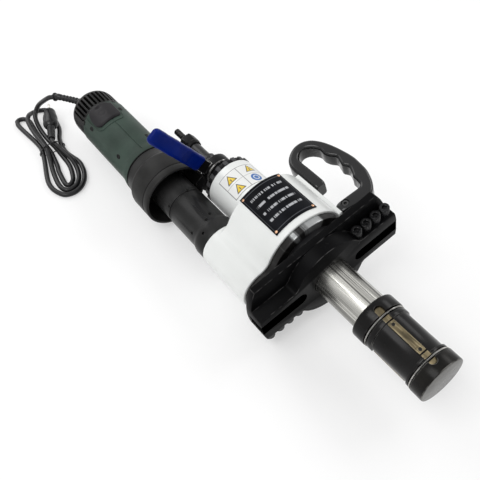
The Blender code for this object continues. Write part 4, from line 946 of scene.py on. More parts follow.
def cap_steel():
    """The end cap: black round its side, and its end face dull grey and turned in fine rings."""
    paint = Paint("end_cap_black_and_bare")
    x, y, z = paint.from_axes()
    radius = (y * y + z * z) ** 0.5
    face = x.rise((CAP_FRONT - 0.5) * MM, (CAP_FRONT - 0.15) * MM)
    rings = paint.noise(2600.0, 2.0, paint.add("CombineXYZ", {}, {0: radius, 1: 0.0, 2: 0.0}))
    cloud = paint.noise(60.0, 4.0)
    brushed = paint.noise(240.0, 4.0, paint.place((1.0, 0.2, 1.0), (0.5, 0.0, 0.0)), 0.6)
    stain = paint.noise(130.0, 5.0, warp=1.0).rise(0.55, 0.70)
    bare = paint.layers(
        (0.045, 0.044, 0.039), (cloud.rise(0.35, 0.65), (0.098, 0.095, 0.086)),
        (rings.rise(0.45, 0.6) * 0.5, (0.065, 0.063, 0.057)),
        (brushed.rise(0.52, 0.66) * 0.4, (0.17, 0.166, 0.155)), (stain * 0.5, (0.060, 0.050, 0.036)),
    )
    worn = paint.worn() * paint.noise(80.0, 3.0).rise(0.40, 0.62)
    black = paint.layers(
        (0.005, 0.0046, 0.0042), (cloud.rise(0.3, 0.7), (0.012, 0.0108, 0.0092)),
        (worn * 0.45, (0.32, 0.31, 0.29))
    )
    return paint.finish(
        base_color=paint.mix(face, black, bare), metallic=face * 0.6 + 0.1, roughness=cloud * 0.12 + 0.20,
        normal=paint.bump(rings * face, 0.00003, 0.4), specular_ior_level=0.12,
    )


def straw_steel():
    """The jaw strips' straw-coloured steel, with painted shade, near black, in their grooves and steps."""
    paint = Paint("straw_steel")
    cloud = paint.noise(70.0, 5.0, paint.place((0.5, 1.0, 1.0)))
    line = paint.noise(500.0, 2.0, paint.place((0.08, 1.0, 1.0)))
    stain = paint.noise(160.0, 4.0, warp=1.0).rise(0.56, 0.70)
    x = paint.from_axes()[0]
    # Painted shade: near-black bands over the grooves for the springs and the step notches in the strips.
    painted_groove_shade = [
        (x.inside((at - half) * MM, (at + half) * MM, 0.0001), (0.004, 0.004, 0.004))
        for at, half in [(at, 0.95) for at in JAW_STEPS] + [(at, 2.1) for at in RING_AT]
    ]
    base = paint.layers(
        (0.066, 0.054, 0.032), (cloud.rise(0.35, 0.65), (0.188, 0.151, 0.086)),
        (line.rise(0.5, 0.7) * 0.5, (0.36, 0.30, 0.18)), (stain * 0.6, (0.030, 0.024, 0.016)),
        (paint.worn() * 0.35, (0.34, 0.29, 0.19)), *painted_groove_shade,
    )
    return paint.finish(
        base_color=base, metallic=0.8, roughness=cloud * 0.2 + 0.24, normal=paint.bump(line, 0.00003, 0.3)
    )


def moulded(name, colour, rough=0.3, grain=800.0, depth=0.00003, coat=0.0, vary=0.25, gleam=0.12):
    """Moulded plastic with a fine grain, faint scuffs and worn edges a little lighter."""
    paint = Paint(name)
    cloud = paint.noise(34.0, 4.0)
    skin_grain = paint.noise(grain, 3.0)
    scuff = paint.noise(150.0, 5.0, paint.place((0.35, 1.0, 1.0)), 0.6).rise(0.62, 0.72)
    base = paint.layers(
        colour, (cloud.rise(0.3, 0.7), times(1.0 + vary, colour, 0.002)),
        (scuff * 0.2, times(1.6, colour, 0.01)),
        (paint.worn() * 0.3, times(1.8, colour, 0.012)),
    )
    return paint.finish(
        base_color=base, roughness=cloud * 0.12 + scuff * 0.08 + rough, coat_weight=coat,
        normal=paint.bump(skin_grain, depth, 0.5), specular_ior_level=gleam,
    )


def motor_green(colour):
    """The motor's body: grey-green with a leathery grain, rubbed marks and a black band in front."""
    paint = Paint("motor_green")
    cloud = paint.noise(22.0, 5.0)
    grain = paint.add("TexVoronoi", {"feature": "F1"}, {"Scale": 1500.0, "Vector": paint.place()})
    scuff = paint.noise(75.0, 6.0, rough=0.65, warp=1.2).rise(0.60, 0.74)
    band = paint.from_axes()[0].rise((HOUSING_X[1] - 2.0) * MM, (HOUSING_X[1] - 1.6) * MM)
    base = paint.layers(
        times(0.80, colour), (cloud.rise(0.3, 0.7), times(1.22, colour)),
        (scuff * 0.35, times(1.5, colour, 0.008)),
        (paint.worn() * 0.3, times(1.6, colour)), (band, (0.002, 0.002, 0.002)),
    )
    return paint.finish(
        base_color=base, roughness=cloud * 0.1 + 0.42, normal=paint.bump(grain, 0.00006, 0.35),
        specular_ior_level=0.08,
    )


def blue_vinyl(colour):
    paint = Paint("blue_vinyl")
    cloud = paint.noise(26.0, 3.0)
    base = paint.mix(cloud.rise(0.3, 0.7), times(0.8, colour), times(1.15, colour))
    ripple = paint.bump(paint.noise(60.0, 2.0), 0.0003, 0.25)
    return paint.finish(
        base_color=base, roughness=cloud * 0.08 + 0.24, coat_weight=0.0, normal=ripple,
        specular_ior_level=0.08
    )


def nameplate_ink():
    """A black anodised plate with a fine border, rules and rows of plain blocks in place of lettering."""
    paint = Paint("nameplate_ink")
    u, v, _ = paint.on_map("plate")
    edge = u.inside(0.035, 0.965, 0.003) * v.inside(0.05, 0.95, 0.004)
    inner = u.inside(0.043, 0.957, 0.003) * v.inside(0.063, 0.937, 0.004)
    line = v * 5.6 + 0.05
    rows = line.fraction().inside(0.40, 0.68, 0.03) * v.inside(0.16, 0.90, 0.004)
    blocks = paint.noise(26.0, 0.0, paint.add("CombineXYZ", {}, {0: u * 1.6, 1: line.floor() * 7.3}))
    words = rows * u.inside(0.12, 0.88, 0.004) * blocks.rise(0.44, 0.47)
    cloud = paint.noise(50.0, 3.0)
    base = paint.layers(
        (0.003, 0.0034, 0.0046), (cloud.rise(0.3, 0.7), (0.0065, 0.0072, 0.010)),
        ((edge - inner) * 0.25, (0.30, 0.31, 0.33)), (words * 0.8, (0.50, 0.51, 0.53)),
    )
    return paint.finish(
        base_color=base, roughness=cloud * 0.1 + 0.24, metallic=0.0, coat_weight=0.0,
        specular_ior_level=0.06
    )


def label_sheet():
    """The sticker on the neck: a white sheet ruled in panels, with plain triangles and a disc."""
    paint = Paint("label_sheet")
    u, v, _ = paint.on_map("sheet")

    def near_line(value, at, half):
        return value.inside(at - half, at + half, 0.006)

    lines = near_line(u, 0.5, 0.008).most(near_line(v, 0.5, 0.006))
    frame_line = 1.0 - u.inside(0.02, 0.98, 0.004) * v.inside(0.02, 0.98, 0.004)
    spread = LABEL_ANGLES[1] - LABEL_ANGLES[0]
    across = math.radians(spread) * NECK_R
    along = LABEL_X[1] - LABEL_X[0]

    def from_centre(x, angle):
        """Millimetres from a place on the sheet: towards the front, and towards the high angle."""
        return (LABEL_X[1] - x) - v * along, (LABEL_ANGLES[1] - angle) / spread * across - u * across

    dark = (0.03, 0.03, 0.03)
    coats = [(lines.most(frame_line) * 0.75, (0.05, 0.05, 0.05))]
    for at in LABEL_TRIANGLES:
        a, b = from_centre(*at)
        deep = (abs(b) * 0.866 - a * 0.5).most(a)
        hollow = deep.rise(3.5, 3.2)
        mark = abs(b).rise(0.75, 0.5) * abs(a - 0.5).rise(2.2, 1.9)
        coats += [(deep.rise(4.6, 4.3), dark), (hollow, (0.72, 0.50, 0.02)), (mark * hollow, dark)]
    a, b = from_centre(*LABEL_DISC)
    far = (a * a + b * b) ** 0.5
    coats += [
        (far.rise(7.4, 7.1), (0.02, 0.12, 0.38)), (far.inside(3.0, 4.4, 0.15) * 0.85, (0.70, 0.73, 0.76))
    ]
    cloud = paint.noise(60.0, 3.0)
    base = paint.layers((0.76, 0.765, 0.75), *coats)
    return paint.finish(base_color=base, roughness=cloud * 0.1 + 0.28, coat_weight=0.3)


def cord_rubber(name="cord_rubber"):
    paint = Paint(name)
    cloud = paint.noise(40.0, 3.0)
    return paint.finish(
        base_color=paint.mix(cloud, (0.004, 0.004, 0.0045), (0.010, 0.010, 0.011)),
        roughness=cloud * 0.12 + 0.24, normal=paint.bump(paint.noise(900.0, 2.0), 0.00003, 0.3),
        specular_ior_level=0.3,
    )


def copper_wire():
    paint = Paint("copper_windings")
    strands = paint.noise(700.0, 2.0, paint.place((0.05, 1.0, 1.0)))
    base = paint.mix(strands.rise(0.4, 0.6), (0.22, 0.07, 0.025), (0.55, 0.24, 0.09))
    return paint.finish(base_color=base, metallic=0.7, roughness=strands * 0.2 + 0.25)


def seen_by(paint):
    """One for what the camera, a reflection or a clear piece sees, and zero for the light on things."""
    rays = paint.add("LightPath").socket.node.outputs
    kinds = ("Is Camera Ray", "Is Glossy Ray", "Is Transmission Ray")
    camera, glossy, through = [Value(paint, rays[kind]) for kind in kinds]
    return (camera + glossy + through).least(1.0)


def floor_paint():
    paint = Paint("studio_floor")
    pale = paint.mix(paint.noise(2.0, 2.0), (0.97, 0.97, 0.97), (0.985, 0.985, 0.985))
    material = paint.finish(base_color=pale, roughness=0.9)
    white = paint.add("Emission", {}, {"Color": (1.0, 1.0, 1.0), "Strength": 1.0})
    lit = Value(paint, paint.shader.outputs[0])
    both = paint.add("MixShader", {}, {0: seen_by(paint) * FLOOR_WHITE, 1: lit, 2: white})
    paint.tree.links.new(both.socket, paint.tree.nodes["Material Output"].inputs["Surface"])
    return material


def aimed(name, data, at, way):
    """A lamp or camera at a place, looking one way."""
    obj = linked(name, data)
    obj.location = at
    obj.rotation_euler = way.to_track_quat("-Z", "Y").to_euler()
    return obj


def make_stage():
    """The floor, the lamps, the world and the camera."""
    bm = bmesh.new()
    bmesh.ops.create_grid(bm, x_segments=8, y_segments=8, size=FLOOR_HALF)
    bmesh.ops.translate(bm, vec=(0.0, 0.0, -ORIGIN.z), verts=bm.verts)
    made(bm, "floor", floor_paint())
    scene = bpy.context.scene
    scene.view_settings.view_transform = "Standard"
    world = bpy.data.worlds.new("studio")
    scene.world = world
    world.use_nodes = True
    sky = world.node_tree.nodes["Background"]
    sky.inputs["Color"].default_value = (1.0, 1.0, 1.0, 1.0)
    strength = seen_by(Paint("studio", world.node_tree)) * (1.0 - WORLD_STRENGTH) + WORLD_STRENGTH
    world.node_tree.links.new(strength.socket, sky.inputs["Strength"])
    for name, at, size, power in LAMPS:
        data = bpy.data.lights.new(name, "AREA")
        data.shape = "RECTANGLE"
        data.size, data.size_y = size
        data.energy = power
        aimed(name, data, at, Vector(LAMP_AIM) - Vector(at))
    data = bpy.data.cameras.new("camera")
    data.sensor_width = SENSOR_MM
    data.lens = FOCAL_PIXELS * SENSOR_MM / PHOTO_PIXELS
    data.clip_start = 0.01
    azimuth, height = math.radians(CAMERA_AZIMUTH), math.radians(CAMERA_ELEVATION)
    flat = math.cos(height)
    back = Vector((math.sin(azimuth) * flat, -math.cos(azimuth) * flat, math.sin(height)))
    scene.camera = aimed("camera", data, (Vector(CAMERA_AT) + ORIGIN) * MM, -back)


def cord_path():
    """The cord's middle line, lifted off the floor and a little more where the tie goes under it."""
    path = []
    for x, y, z in smooth_path([(*point, CORD_FLOOR)[:3] for point in CORD_ROUTE], CORD_STEP):
        path.append(Vector((x, y, z + CORD_REST + TIE_LIFT * math.exp(-(((x - TIE_X) / 16.0) ** 2)))))
    return path


def make_plug(path):
    """The moulded plug with its ribbed neck, and its two pins."""
    start = path[-1]
    ahead = (start - path[-2]).normalized()
    across = ahead.cross(Vector((0.0, 0.0, 1.0))).cross(ahead).normalized()
    ribbed = []
    for d, side, up in smooth_path(PLUG_SECTIONS, 0.6):
        rib = 0.0
        if 3.0 < d < 23.0:
            rib = 0.55 * (0.5 - 0.5 * math.cos(math.tau * (d - 3.0) / 3.2)) - 0.35
        waist = 0.5 * math.exp(-(((d - 40.0) / 4.0) ** 2))
        ribbed.append((d, side + rib - waist, up + rib))
    d, side, up = ribbed[-1]
    ribbed += [(d + 0.4, side - 0.4, up - 0.4), (d + 0.5, side - 1.0, up - 1.0)]
    middle = [start + ahead * (d + GAP) for d, _, _ in ribbed]
    body = sweep(middle, [oval(side, up, 40) for _, side, up in ribbed])
    pins = []
    for side in (-PIN_APART, PIN_APART):
        pins += spin(middle[-1] + across * side - ahead * 3.0, ahead, [
            (0, 0), (0, PIN_R), (PIN_LONG + 2, PIN_R), (PIN_LONG + 2.7, 1.7), (PIN_LONG + 3, 1.1),
            (PIN_LONG + 3, 0),
        ], 24)
    plated = bright_steel("plated_pins", (0.72, 0.70, 0.66))
    return (
        piece("plug_body", cord_rubber("plug_rubber"), body, "frame", "black_rubber", "plug"),
        piece("plug_pins", plated, pins, "frame", "bright_steel"),
    )


def hull(points):
    """The convex outline of flat points, turning one way round."""
    points = sorted(set(points))
    sides = []
    for order in (points, points[::-1]):
        side = []
        for point in order:
            while len(side) > 1:
                a, b = side[-2:]
                if (b[0] - a[0]) * (point[1] - a[1]) - (b[1] - a[1]) * (point[0] - a[0]) > 0:
                    break
                side.pop()
            side.append(point)
        sides += side[:-1]
    return sides


def make_tie(path):
    """A plastic-covered wire drawn round the strands where they pass side by side, in a node tree."""
    around = CORD_R + 0.3 + TIE_WIRE_R
    outline = []
    for a, b in zip(path, path[1:]):
        if (a.x - TIE_X) * (b.x - TIE_X) <= 0 and a.x != b.x:
            at = a.lerp(b, (TIE_X - a.x) / (b.x - a.x))
            outline += [
                (round(y, 3), round(z, 3)) for y, z in arc((at.y, at.z), around, 22.5, 382.5, 20)[:-1]
            ]
    points = [(Vector((TIE_X, y, z)) + ORIGIN) * MM for y, z in hull(outline)]
    base = linked("cord_tie_base", bpy.data.meshes.new("cord_tie_base"))
    base.data.from_pydata(points, [(i, (i + 1) % len(points)) for i in range(len(points))], [])
    growth = Growth("cord_tie_wire", wire_radius=TIE_WIRE_R * MM, wire_sides=12)
    given = growth.given
    line = growth.add("MeshToCurve", {"Mesh": given("geometry")})
    wire = growth.pipe(line, given("wire_sides"), given("wire_radius"))
    tie = growth.grow("cord_tie_wire", wire, cord_rubber("tie_plastic"), base)
    dress(tie, "frame", "black_rubber", "cord_tie")
    return tie


def make_cord():
    """The free cord with its plug, its tie and the sleeve where it leaves the rear cap."""
    path = cord_path()
    curve = bpy.data.curves.new("power_cord", "CURVE")
    curve.dimensions = "3D"
    curve.bevel_depth = CORD_R * MM
    curve.bevel_resolution = 5
    curve.use_fill_caps = True
    spline = curve.splines.new("POLY")
    spline.points.add(len(path) - 1)
    for point, at in zip(spline.points, path):
        point.co = (*((at + ORIGIN) * MM), 1.0)
    spline.use_smooth = True
    curve.materials.append(cord_rubber())
    cord = linked("power_cord", curve)
    dress(cord, "frame", "black_rubber", "cord")
    body, pins = make_plug(path)
    tie = make_tie(path)
    make_relief(path)


def make_relief(path):
    """The moulded sleeve where the cord leaves the rear cap, ribbed and tapering onto the cord."""
    ahead = (path[1] - path[0]).normalized()
    end = path[0] - ahead * GAP
    collar = end - ahead * 3.0
    middle = [Vector(point) for point in smooth_path(RELIEF + [tuple(collar - ahead * 4.0)], 0.8)]
    radii = []
    for i in range(len(middle)):
        t = i / (len(middle) - 1)
        rib = 0.0
        if 0.12 < t < 0.94:
            rib = -0.75 * (0.5 + 0.5 * math.cos(math.tau * (t - 0.12) * 13.0))
        radii.append(RELIEF_R - 1.0 * t + rib)
    middle += [collar, collar + ahead * 0.3, collar + ahead * 0.8, end - ahead * 0.4, end]
    radii += [RELIEF_R + more for more in (-1.0, 0.1, 0.5, 0.6, 0.2)]
    sleeve = sweep(middle, [oval(r, r) for r in radii])
    piece(
        "cord_strain_relief", cord_rubber("relief_rubber"), sleeve, "frame", "black_rubber", "strain_relief"
    )


def make_casing():
    """The white figure-eight casing with its neck, rail and handle lugs."""
    r = LOBE_R - 0.15
    foot = CASE_REAR + BACK_WALL
    across = (-LUG_HALF, LUG_HALF)
    lug_low = RAIL_TOP - 3
    neck = turn([
        (NECK_REAR, 0), (NECK_REAR, NECK_R - 0.8), (NECK_REAR + 0.8, NECK_R), (CASE_REAR - 3.0, NECK_R),
        (CASE_REAR - 0.9, NECK_R + 0.9), (CASE_REAR, NECK_R + 3.0), (CASE_REAR + 5.0, NECK_R + 3.0),
        (CASE_REAR + 5.0, 0),
    ])
    lobe_boss = turn([
        (LOBE_REAR, 0), (LOBE_REAR, r - 1), (LOBE_REAR + 1, r), (CASE_REAR + 4, r), (CASE_REAR + 4, 0),
    ], MOTOR)
    rail = block(RAIL_X, (DRUM_R - 8, RAIL_TOP), (-RAIL_HALF, RAIL_HALF), LEAN)
    lugs = block(FRONT_LUG_X, (lug_low, FRONT_LUG_TOP), across, LEAN)
    lugs += block(REAR_LUG_X, (lug_low, REAR_LUG_TOP), across, LEAN)
    neck_bore = turn([
        (NECK_REAR - 5, 0), (NECK_REAR - 5, NECK_BORE_R), (NUT_FLANGE_X[1] + 0.6, NECK_BORE_R),
        (NUT_FLANGE_X[1] + 0.6, GUIDE_BORE_R), (foot, GUIDE_BORE_R), (foot, 0),
    ])
    drum = pillow(figure_eight, CASE_REAR, 0.0, 3.0, 1.6)
    piece(
        "casing", white_enamel(shade("casing")), drum, "frame", "white_paint", "body_casing",
        joined=(neck, lobe_boss, rail, lugs), less=(neck_bore, disc(-20.0, 5.0, FRONT_HOLLOW_R)), eased=0.7,
    )
    label = sheet_on(
        "label_on_neck", LABEL_X, LABEL_ANGLES, NECK_R + 0.02, LABEL_THICK, "sheet", label_sheet()
    )
    dress(label, "frame", "white_paint")


def make_flange():
    """The dark burnished flange behind the cutter head."""

    def outline(grow):
        return figure_eight(grow, FLANGE_DRUM_R, FLANGE_LOBE_R, WAIST_R + 2.4)

    piece(
        "burnished_flange", burnished_steel(), pillow(outline, GAP, FLANGE_FRONT, 0.0, 1.2),
        "frame", "dark_steel", "front_flange", joined=[disc(-16.0, 3.0, FLANGE_SPIGOT_R)], eased=0.3,
        less=[turn([
            (-20.0, 0), (-20.0, FLANGE_SEAT_R), (-3.0, FLANGE_SEAT_R), (-3.0, FLANGE_BORE_R),
            (15.0, FLANGE_BORE_R), (15.0, 0),
        ])],
    )


def make_nameplate():
    """The plate on the casing, with its four rivets."""
    inner = DRUM_R + GAP
    plate = sheet_on("name_plate", PLATE_X, PLATE_ANGLES, inner, PLATE_THICK, "plate", nameplate_ink(), 64)
    dress(plate, "frame", "black_plastic", "nameplate")
    profile = [(0, 0), (0, 1.9), (0.5, 1.85), (0.85, 1.5), (1.05, 0.9), (1.1, 0)]
    pair = []
    for x in (PLATE_X[0] + 3.5, PLATE_X[1] - 3.5):
        pair += spin((x, inner + PLATE_THICK - 0.3, 0.0), (0.0, 1.0, 0.0), profile, 20)
    low, high = PLATE_ANGLES
    copper = bright_steel("copper_rivets", (0.62, 0.36, 0.22))
    dress(ringed("plate_rivets", pair, copper, 2, high - low - 6.0, start=low + 3.0), "frame", "copper")


def socket_screw(base, axis, shank, head, seat, top, socket, steps=60, knurl=0.0):
    """A cap screw from its end to its hexagon socket; knurl is the depth of the head's ridges."""
    base = Vector(base)
    axis, side, over = square_to(axis)

    def ring(d, radius, form=None):
        points = []
        for i in range(steps):
            angle = math.tau * i / steps
            r = radius
            if form == "knurl":
                r -= knurl * (0.5 + 0.5 * math.cos(math.pi * i))
            if form == "hexagon":
                r = radius / math.cos((angle + math.pi / 6) % (math.pi / 3) - math.pi / 6)
            points.append(base + axis * d + r * (math.cos(angle) * side + math.sin(angle) * over))
        return points

    return [([
        [base], ring(0.0, shank - 0.5), ring(0.5, shank), ring(seat, shank), ring(seat, head - 0.2),
        ring(seat + 0.3, head - 0.1, "knurl"), ring(top - 1.1, head - 0.1, "knurl"),
        ring(top - 0.9, head - 0.05),
        ring(top - 0.35, head - 0.25), ring(top, head - 0.8), ring(top, socket + 0.75),
        ring(top - 0.3, socket, "hexagon"), ring(top - 4.0, socket, "hexagon"), [base + axis * (top - 4.4)],
    ], False)]


def make_handle():
    """The looped grip with its finger bumps, and the two screws that hold it."""
    line = smooth_path([(x, out, 0.0, inner, outer) for x, out, inner, outer in HANDLE], 1.6)
    path = [rail_point(x, out, 0.0) for x, out, _, _, _ in line]
    sections = [
        rounded_section(outer, inner, HANDLE_HALF, min(4.4, outer * 0.7)) for *_, inner, outer in line
    ]
    for i in range(5):
        scale = 1.0 - 0.16 * ((5 - i) / 5) ** 2
        for end in (i, -1 - i):
            sections[end] = [(a * scale, b * scale) for a, b in sections[end]]
    ways = []
    for (x0, x1), top in ((FRONT_LUG_X, FRONT_LUG_TOP), (REAR_LUG_X, REAR_LUG_TOP)):
        across = (-LUG_HALF - 0.4, LUG_HALF + 0.4)
        ways += block((x0 - 0.4, x1 + 0.4), (RAIL_TOP - 4, top + 0.4), across, LEAN)
    holes = []
    screws = []
    hole = HANDLE_SHANK_R + 0.4
    head = HANDLE_HEAD_R + 0.5
    for (x, out), side in ((FRONT_SCREW, 1.0), (REAR_SCREW, -1.0)):
        axis = (0.0, *turned_by((0.0, side), LEAN))
        holes += spin(rail_point(x, out, -9.1 * side), axis, [
            (0, 0), (0, hole), (16.4, hole), (16.4, head), (29.0, head), (29.0, 0),
        ])
        end = rail_point(x, out, -8.4 * side)
        screws += socket_screw(end, axis, HANDLE_SHANK_R, HANDLE_HEAD_R, 16.0, 20.0, 2.2, 40)
    piece(
        "looped_handle", moulded("handle_black", shade("handle"), 0.16, 500.0, 0.00003, 0.25, gleam=0.25),
        sweep(path, sections, (0.0, *turned_by((0.0, 1.0), LEAN))),
        "frame", "black_plastic", "carry_handle", less=(ways, holes), sharp=50.0,
    )
    steel = black_oxide("handle_screw_dark", (0.04, 0.04, 0.04), 1.0, (0.45, 0.44, 0.42), 0.25)
    nodes = ("handle_screw_front", "handle_screw_rear")
    piece("handle_screws", steel, screws, "frame", "bright_steel", *nodes)


def make_spindle_flange():
    """The black flange that turns in front of the burnished one and carries the head."""
    back = HEAD_BACK - GAP
    front = HEAD_STEP + 7.5
    piece(
        "spindle_flange", black_oxide("spindle_black", (0.006, 0.006, 0.0065), 0.2), turn([
            (SPINDLE_REAR, SPINDLE_BORE_R), (SPINDLE_REAR, SPINDLE_R), (FLANGE_FRONT + 1, SPINDLE_R),
            (FLANGE_FRONT + 1, SPINDLE_FLANGE_R), (back, SPINDLE_FLANGE_R), (back, SPINDLE_SPIGOT_R),
            (front, SPINDLE_SPIGOT_R), (front, SPINDLE_BORE_R),
        ]), "cutter_spindle", "black_oxide", "spindle", eased=0.5,
    )


def arm_outline():
    """The jaws and hub of the cutter head, with a fillet where each arm leaves the hub."""
    tip = math.degrees(math.asin(JAW_HALF / HEAD_R))
    out = JAW_HALF + HUB_FILLET
    along = math.sqrt((HEAD_HALF + HUB_FILLET) ** 2 - out**2)
    meet = math.degrees(math.atan2(out, along))
    points = []
    for side in (0, 180):
        points += arc(MAIN, HEAD_R, side - tip, side + tip, 16)
        points += arc(turned_by((along, out), side), HUB_FILLET, side - 90, side + meet - 180, 8)
        points += arc(MAIN, HEAD_HALF, side + meet, side + 180 - meet, 44)[1:-1]
        points += arc(turned_by((-along, out), side), HUB_FILLET, side - meet, side - 90, 8)
    return [turned_by(point, ARM_LEAN) for point in points]


def arm_rod(at, low, high, angle, radius, steps):
    """A rod across an arm where a clamp screw stands."""
    ends = [(SCREW_X, *turned_by((at, out), angle)) for out in (low, high)]
    return rod(*ends, radius, steps)


def make_cutter_head():
    """The two-armed head with a slot for a tool bit in each arm."""
    corner = math.degrees(math.asin(HEAD_HALF / HEAD_R))
    ends = arc(MAIN, HEAD_R, -corner, corner, 40) + arc(MAIN, HEAD_R, 180 - corner, 180 + corner, 40)
    back_plate = prism([turned_by(point, ARM_LEAN) for point in ends], HEAD_BACK, HEAD_STEP)
    r = SPINDLE_SPIGOT_R + GAP
    step = HEAD_STEP + 8.5
    bore = turn([
        (HEAD_BACK - 5, 0), (HEAD_BACK - 5, r), (step, r), (step, SPINDLE_BORE_R),
        (HEAD_FRONT + 5, SPINDLE_BORE_R), (HEAD_FRONT + 5, 0),
    ])
    half = (SLOT[1] - SLOT[0]) / 2
    loop = arc((SLOT_INNER + half, (SLOT[0] + SLOT[1]) / 2), half, 90, 270, 16)
    loop += [(HEAD_R + 10, SLOT[0]), (HEAD_R + 10, SLOT[1])]
    slots, ways, pockets = [], [], []
    for angle in (ARM_LEAN, ARM_LEAN + 180):
        slots += prism([turned_by(point, angle) for point in loop], SLOT_FLOOR, HEAD_FRONT + 5)
        for at in SCREW_AT:
            ways += arm_rod(at, SLOT[1] - 4, JAW_HALF + 5, angle, CLAMP_SHANK_R + GAP, SMALL_ROUND)
        pockets += arm_rod(SCREW_AT[0], JAW_HALF, JAW_HALF + 20, angle, CLAMP_HEAD_R + 0.6, 48)
    piece(
        "cutter_head_body",
        black_oxide("head_black", shade("head"), 0.2, (0.26, 0.255, 0.25), 0.38, gleam=0.03),
        back_plate, "cutter_spindle", "black_oxide", "cutter_head",
        joined=[prism(arm_outline(), HEAD_STEP - 5, HEAD_FRONT)], less=(bore, slots, ways, pockets),
        eased=0.65,
    )


def make_clamp_screws():
    """The eight knurled cap screws, four to an arm, from one screw by a node tree."""
    start = SLOT[1] + 0.5
    seat = JAW_HALF - start + GAP
    axis = (0.0, *turned_by((0.0, 1.0), ARM_LEAN))
    end = (SCREW_X, *turned_by((SCREW_AT[0], start), ARM_LEAN))
    screw = socket_screw(end, axis, CLAMP_SHANK_R, CLAMP_HEAD_R, seat, seat + CLAMP_HEAD_H, 3.0, 72, 0.3)
    pitch = (SCREW_AT[-1] - SCREW_AT[0]) / (len(SCREW_AT) - 1) * MM
    along = turned_by((pitch, 0.0), ARM_LEAN)
    growth = Growth("clamp_screws", MAIN, count=len(SCREW_AT), step_y=along[0], step_z=along[1])
    given = growth.given
    row = growth.copies(growth.row(given("count"), growth.point(0.0, given("step_y"), given("step_z"))))
    other = growth.add("Transform", {"Geometry": row, "Rotation": (math.pi, 0.0, 0.0)})
    both = growth.on_axis(growth.add("JoinGeometry", {"Geometry": [row, other]}))
    paint = black_oxide("screw_black", (0.006, 0.006, 0.0065), 0.9, (0.30, 0.295, 0.285), 0.24, gleam=0.2)
    screws = growth.grow("clamp_screws", both, paint, drawn(screw, "clamp_screws", origin=Vector()))
    smooth(screws, 25.0)
    nodes = [f"clamp_screw_{letter}{number}" for letter in "ab" for number in range(1, len(SCREW_AT) + 1)]
    dress(screws, "cutter_spindle", "black_oxide", *nodes)


def jaw_slots(x0, x1, low, round_rear=False, round_front=False):
    """Cutters for the three jaws' slots, with half-round ends where asked."""
    half = JAW_WIDE / 2 + GAP
    outline = []
    for at, sign, rounded in ((x0, 1.0, round_rear), (x1, -1.0, round_front)):
        if rounded:
            outline += [(at + sign * (half + a), sign * b) for a, b in arc(MAIN, half, 90, 270, 12)]
        else:
            outline += [(at, sign * half), (at, -sign * half)]
    shape = []
    for angle in JAW_ANGLES:
        ends = (low, COLLAR_R + 6)
        shape.append(
            ([[(x, *turned_by((r, across), angle)) for x, across in outline] for r in ends], False)
        )
    return shape


def make_mandrel():
    """The ground shaft, rear collar, slotted head body and end cap of the expanding mandrel."""
    waist = SHAFT_R - 1.5
    front = COLLAR_X[1] - 0.6
    shoulder = COLLAR_X[0] + 2
    thread = []
    at = SHAFT_REAR - 6.0
    while at > TAIL_REAR + 3.0:
        thread += [(at, TAIL_R), (at - 1.0, TAIL_R), (at - 2.0, TAIL_R - 0.7), (at - 3.0, TAIL_R)]
        at -= 4.0
    shaft = turn([
        (front, DRAW_BORE_R), (front, waist), (shoulder, waist), (shoulder, SHAFT_R),
        (SHAFT_REAR + 1, SHAFT_R),
        (SHAFT_REAR, SHAFT_R - 1), (SHAFT_REAR, TAIL_R), *thread, (TAIL_REAR, TAIL_R), (TAIL_REAR, NOSE_R),
        (NOSE_REAR, NOSE_R), (NOSE_REAR, DRAW_BORE_R),
    ])
    steel = shaft_steel((0.49, 0.485, 0.455))
    piece("ground_shaft", steel, shaft, "mandrel", "bright_steel", "mandrel_shaft", sharp=20.0)
    black = black_oxide(
        "mandrel_black", shade("mandrel"), 0.3, (0.34, 0.33, 0.31), 0.20, (0.12, 1.0, 1.0), 0.14
    )
    collar = turn([
        (COLLAR_X[0], SHAFT_R + GAP), (COLLAR_X[0], COLLAR_R - 0.8), (COLLAR_X[0] + 0.8, COLLAR_R),
        (COLLAR_X[1], COLLAR_R), (COLLAR_X[1], waist + GAP), (shoulder + GAP, waist + GAP),
        (shoulder + GAP, SHAFT_R + GAP),
    ])
    slots = jaw_slots(JAW_X[0] - 0.5, COLLAR_X[1] + 5, JAW_TONGUE - 0.5, round_rear=True)
    piece("shaft_collar", black, collar, "mandrel", "black_oxide", "rear_collar", less=[slots], eased=0.45)
    rear_ring, front_ring = RING_AT
    half = RING_WIRE_R + 1.1
    rear, front = BODY_X
    barrel = turn([
        (rear, DRAW_BORE_R), (rear, GROOVE_R), (rear_ring + half, GROOVE_R), (rear_ring + half, LIP_R),
        (LIP_END, LIP_R), (LIP_END + 0.3, BODY_R), (front_ring - half - 3.2, BODY_R),
        (front_ring - half - 3.0, LIP_R), (front_ring - half, LIP_R), (front_ring - half, GROOVE_R),
        (front, GROOVE_R), (front, BODY_BORE_R), (rear + 7.8, BODY_BORE_R), (rear + 7.8, DRAW_BORE_R),
    ])
    slots = jaw_slots(rear - 5, front + 5, JAW_HEEL - 0.6)
    piece("expanding_body", black, barrel, "mandrel", "black_oxide", "head_body", less=[slots], eased=0.35)
    rear, front = CAP_X
    cap = turn([
        (rear - 3.5, 0), (rear - 3.5, BODY_BORE_R - GAP), (rear, BODY_BORE_R - GAP), (rear, COLLAR_R),
        (front - 0.6, COLLAR_R), (front, COLLAR_R - 0.6), (front, 0),
    ])
    slots = jaw_slots(rear - 1, JAW_X[1] + 0.5, JAW_TONGUE - 0.5, round_front=True)
    piece(
        "end_cap", cap_steel(), cap, "mandrel", "black_oxide", "mandrel_end_cap", less=[slots], eased=0.45
    )


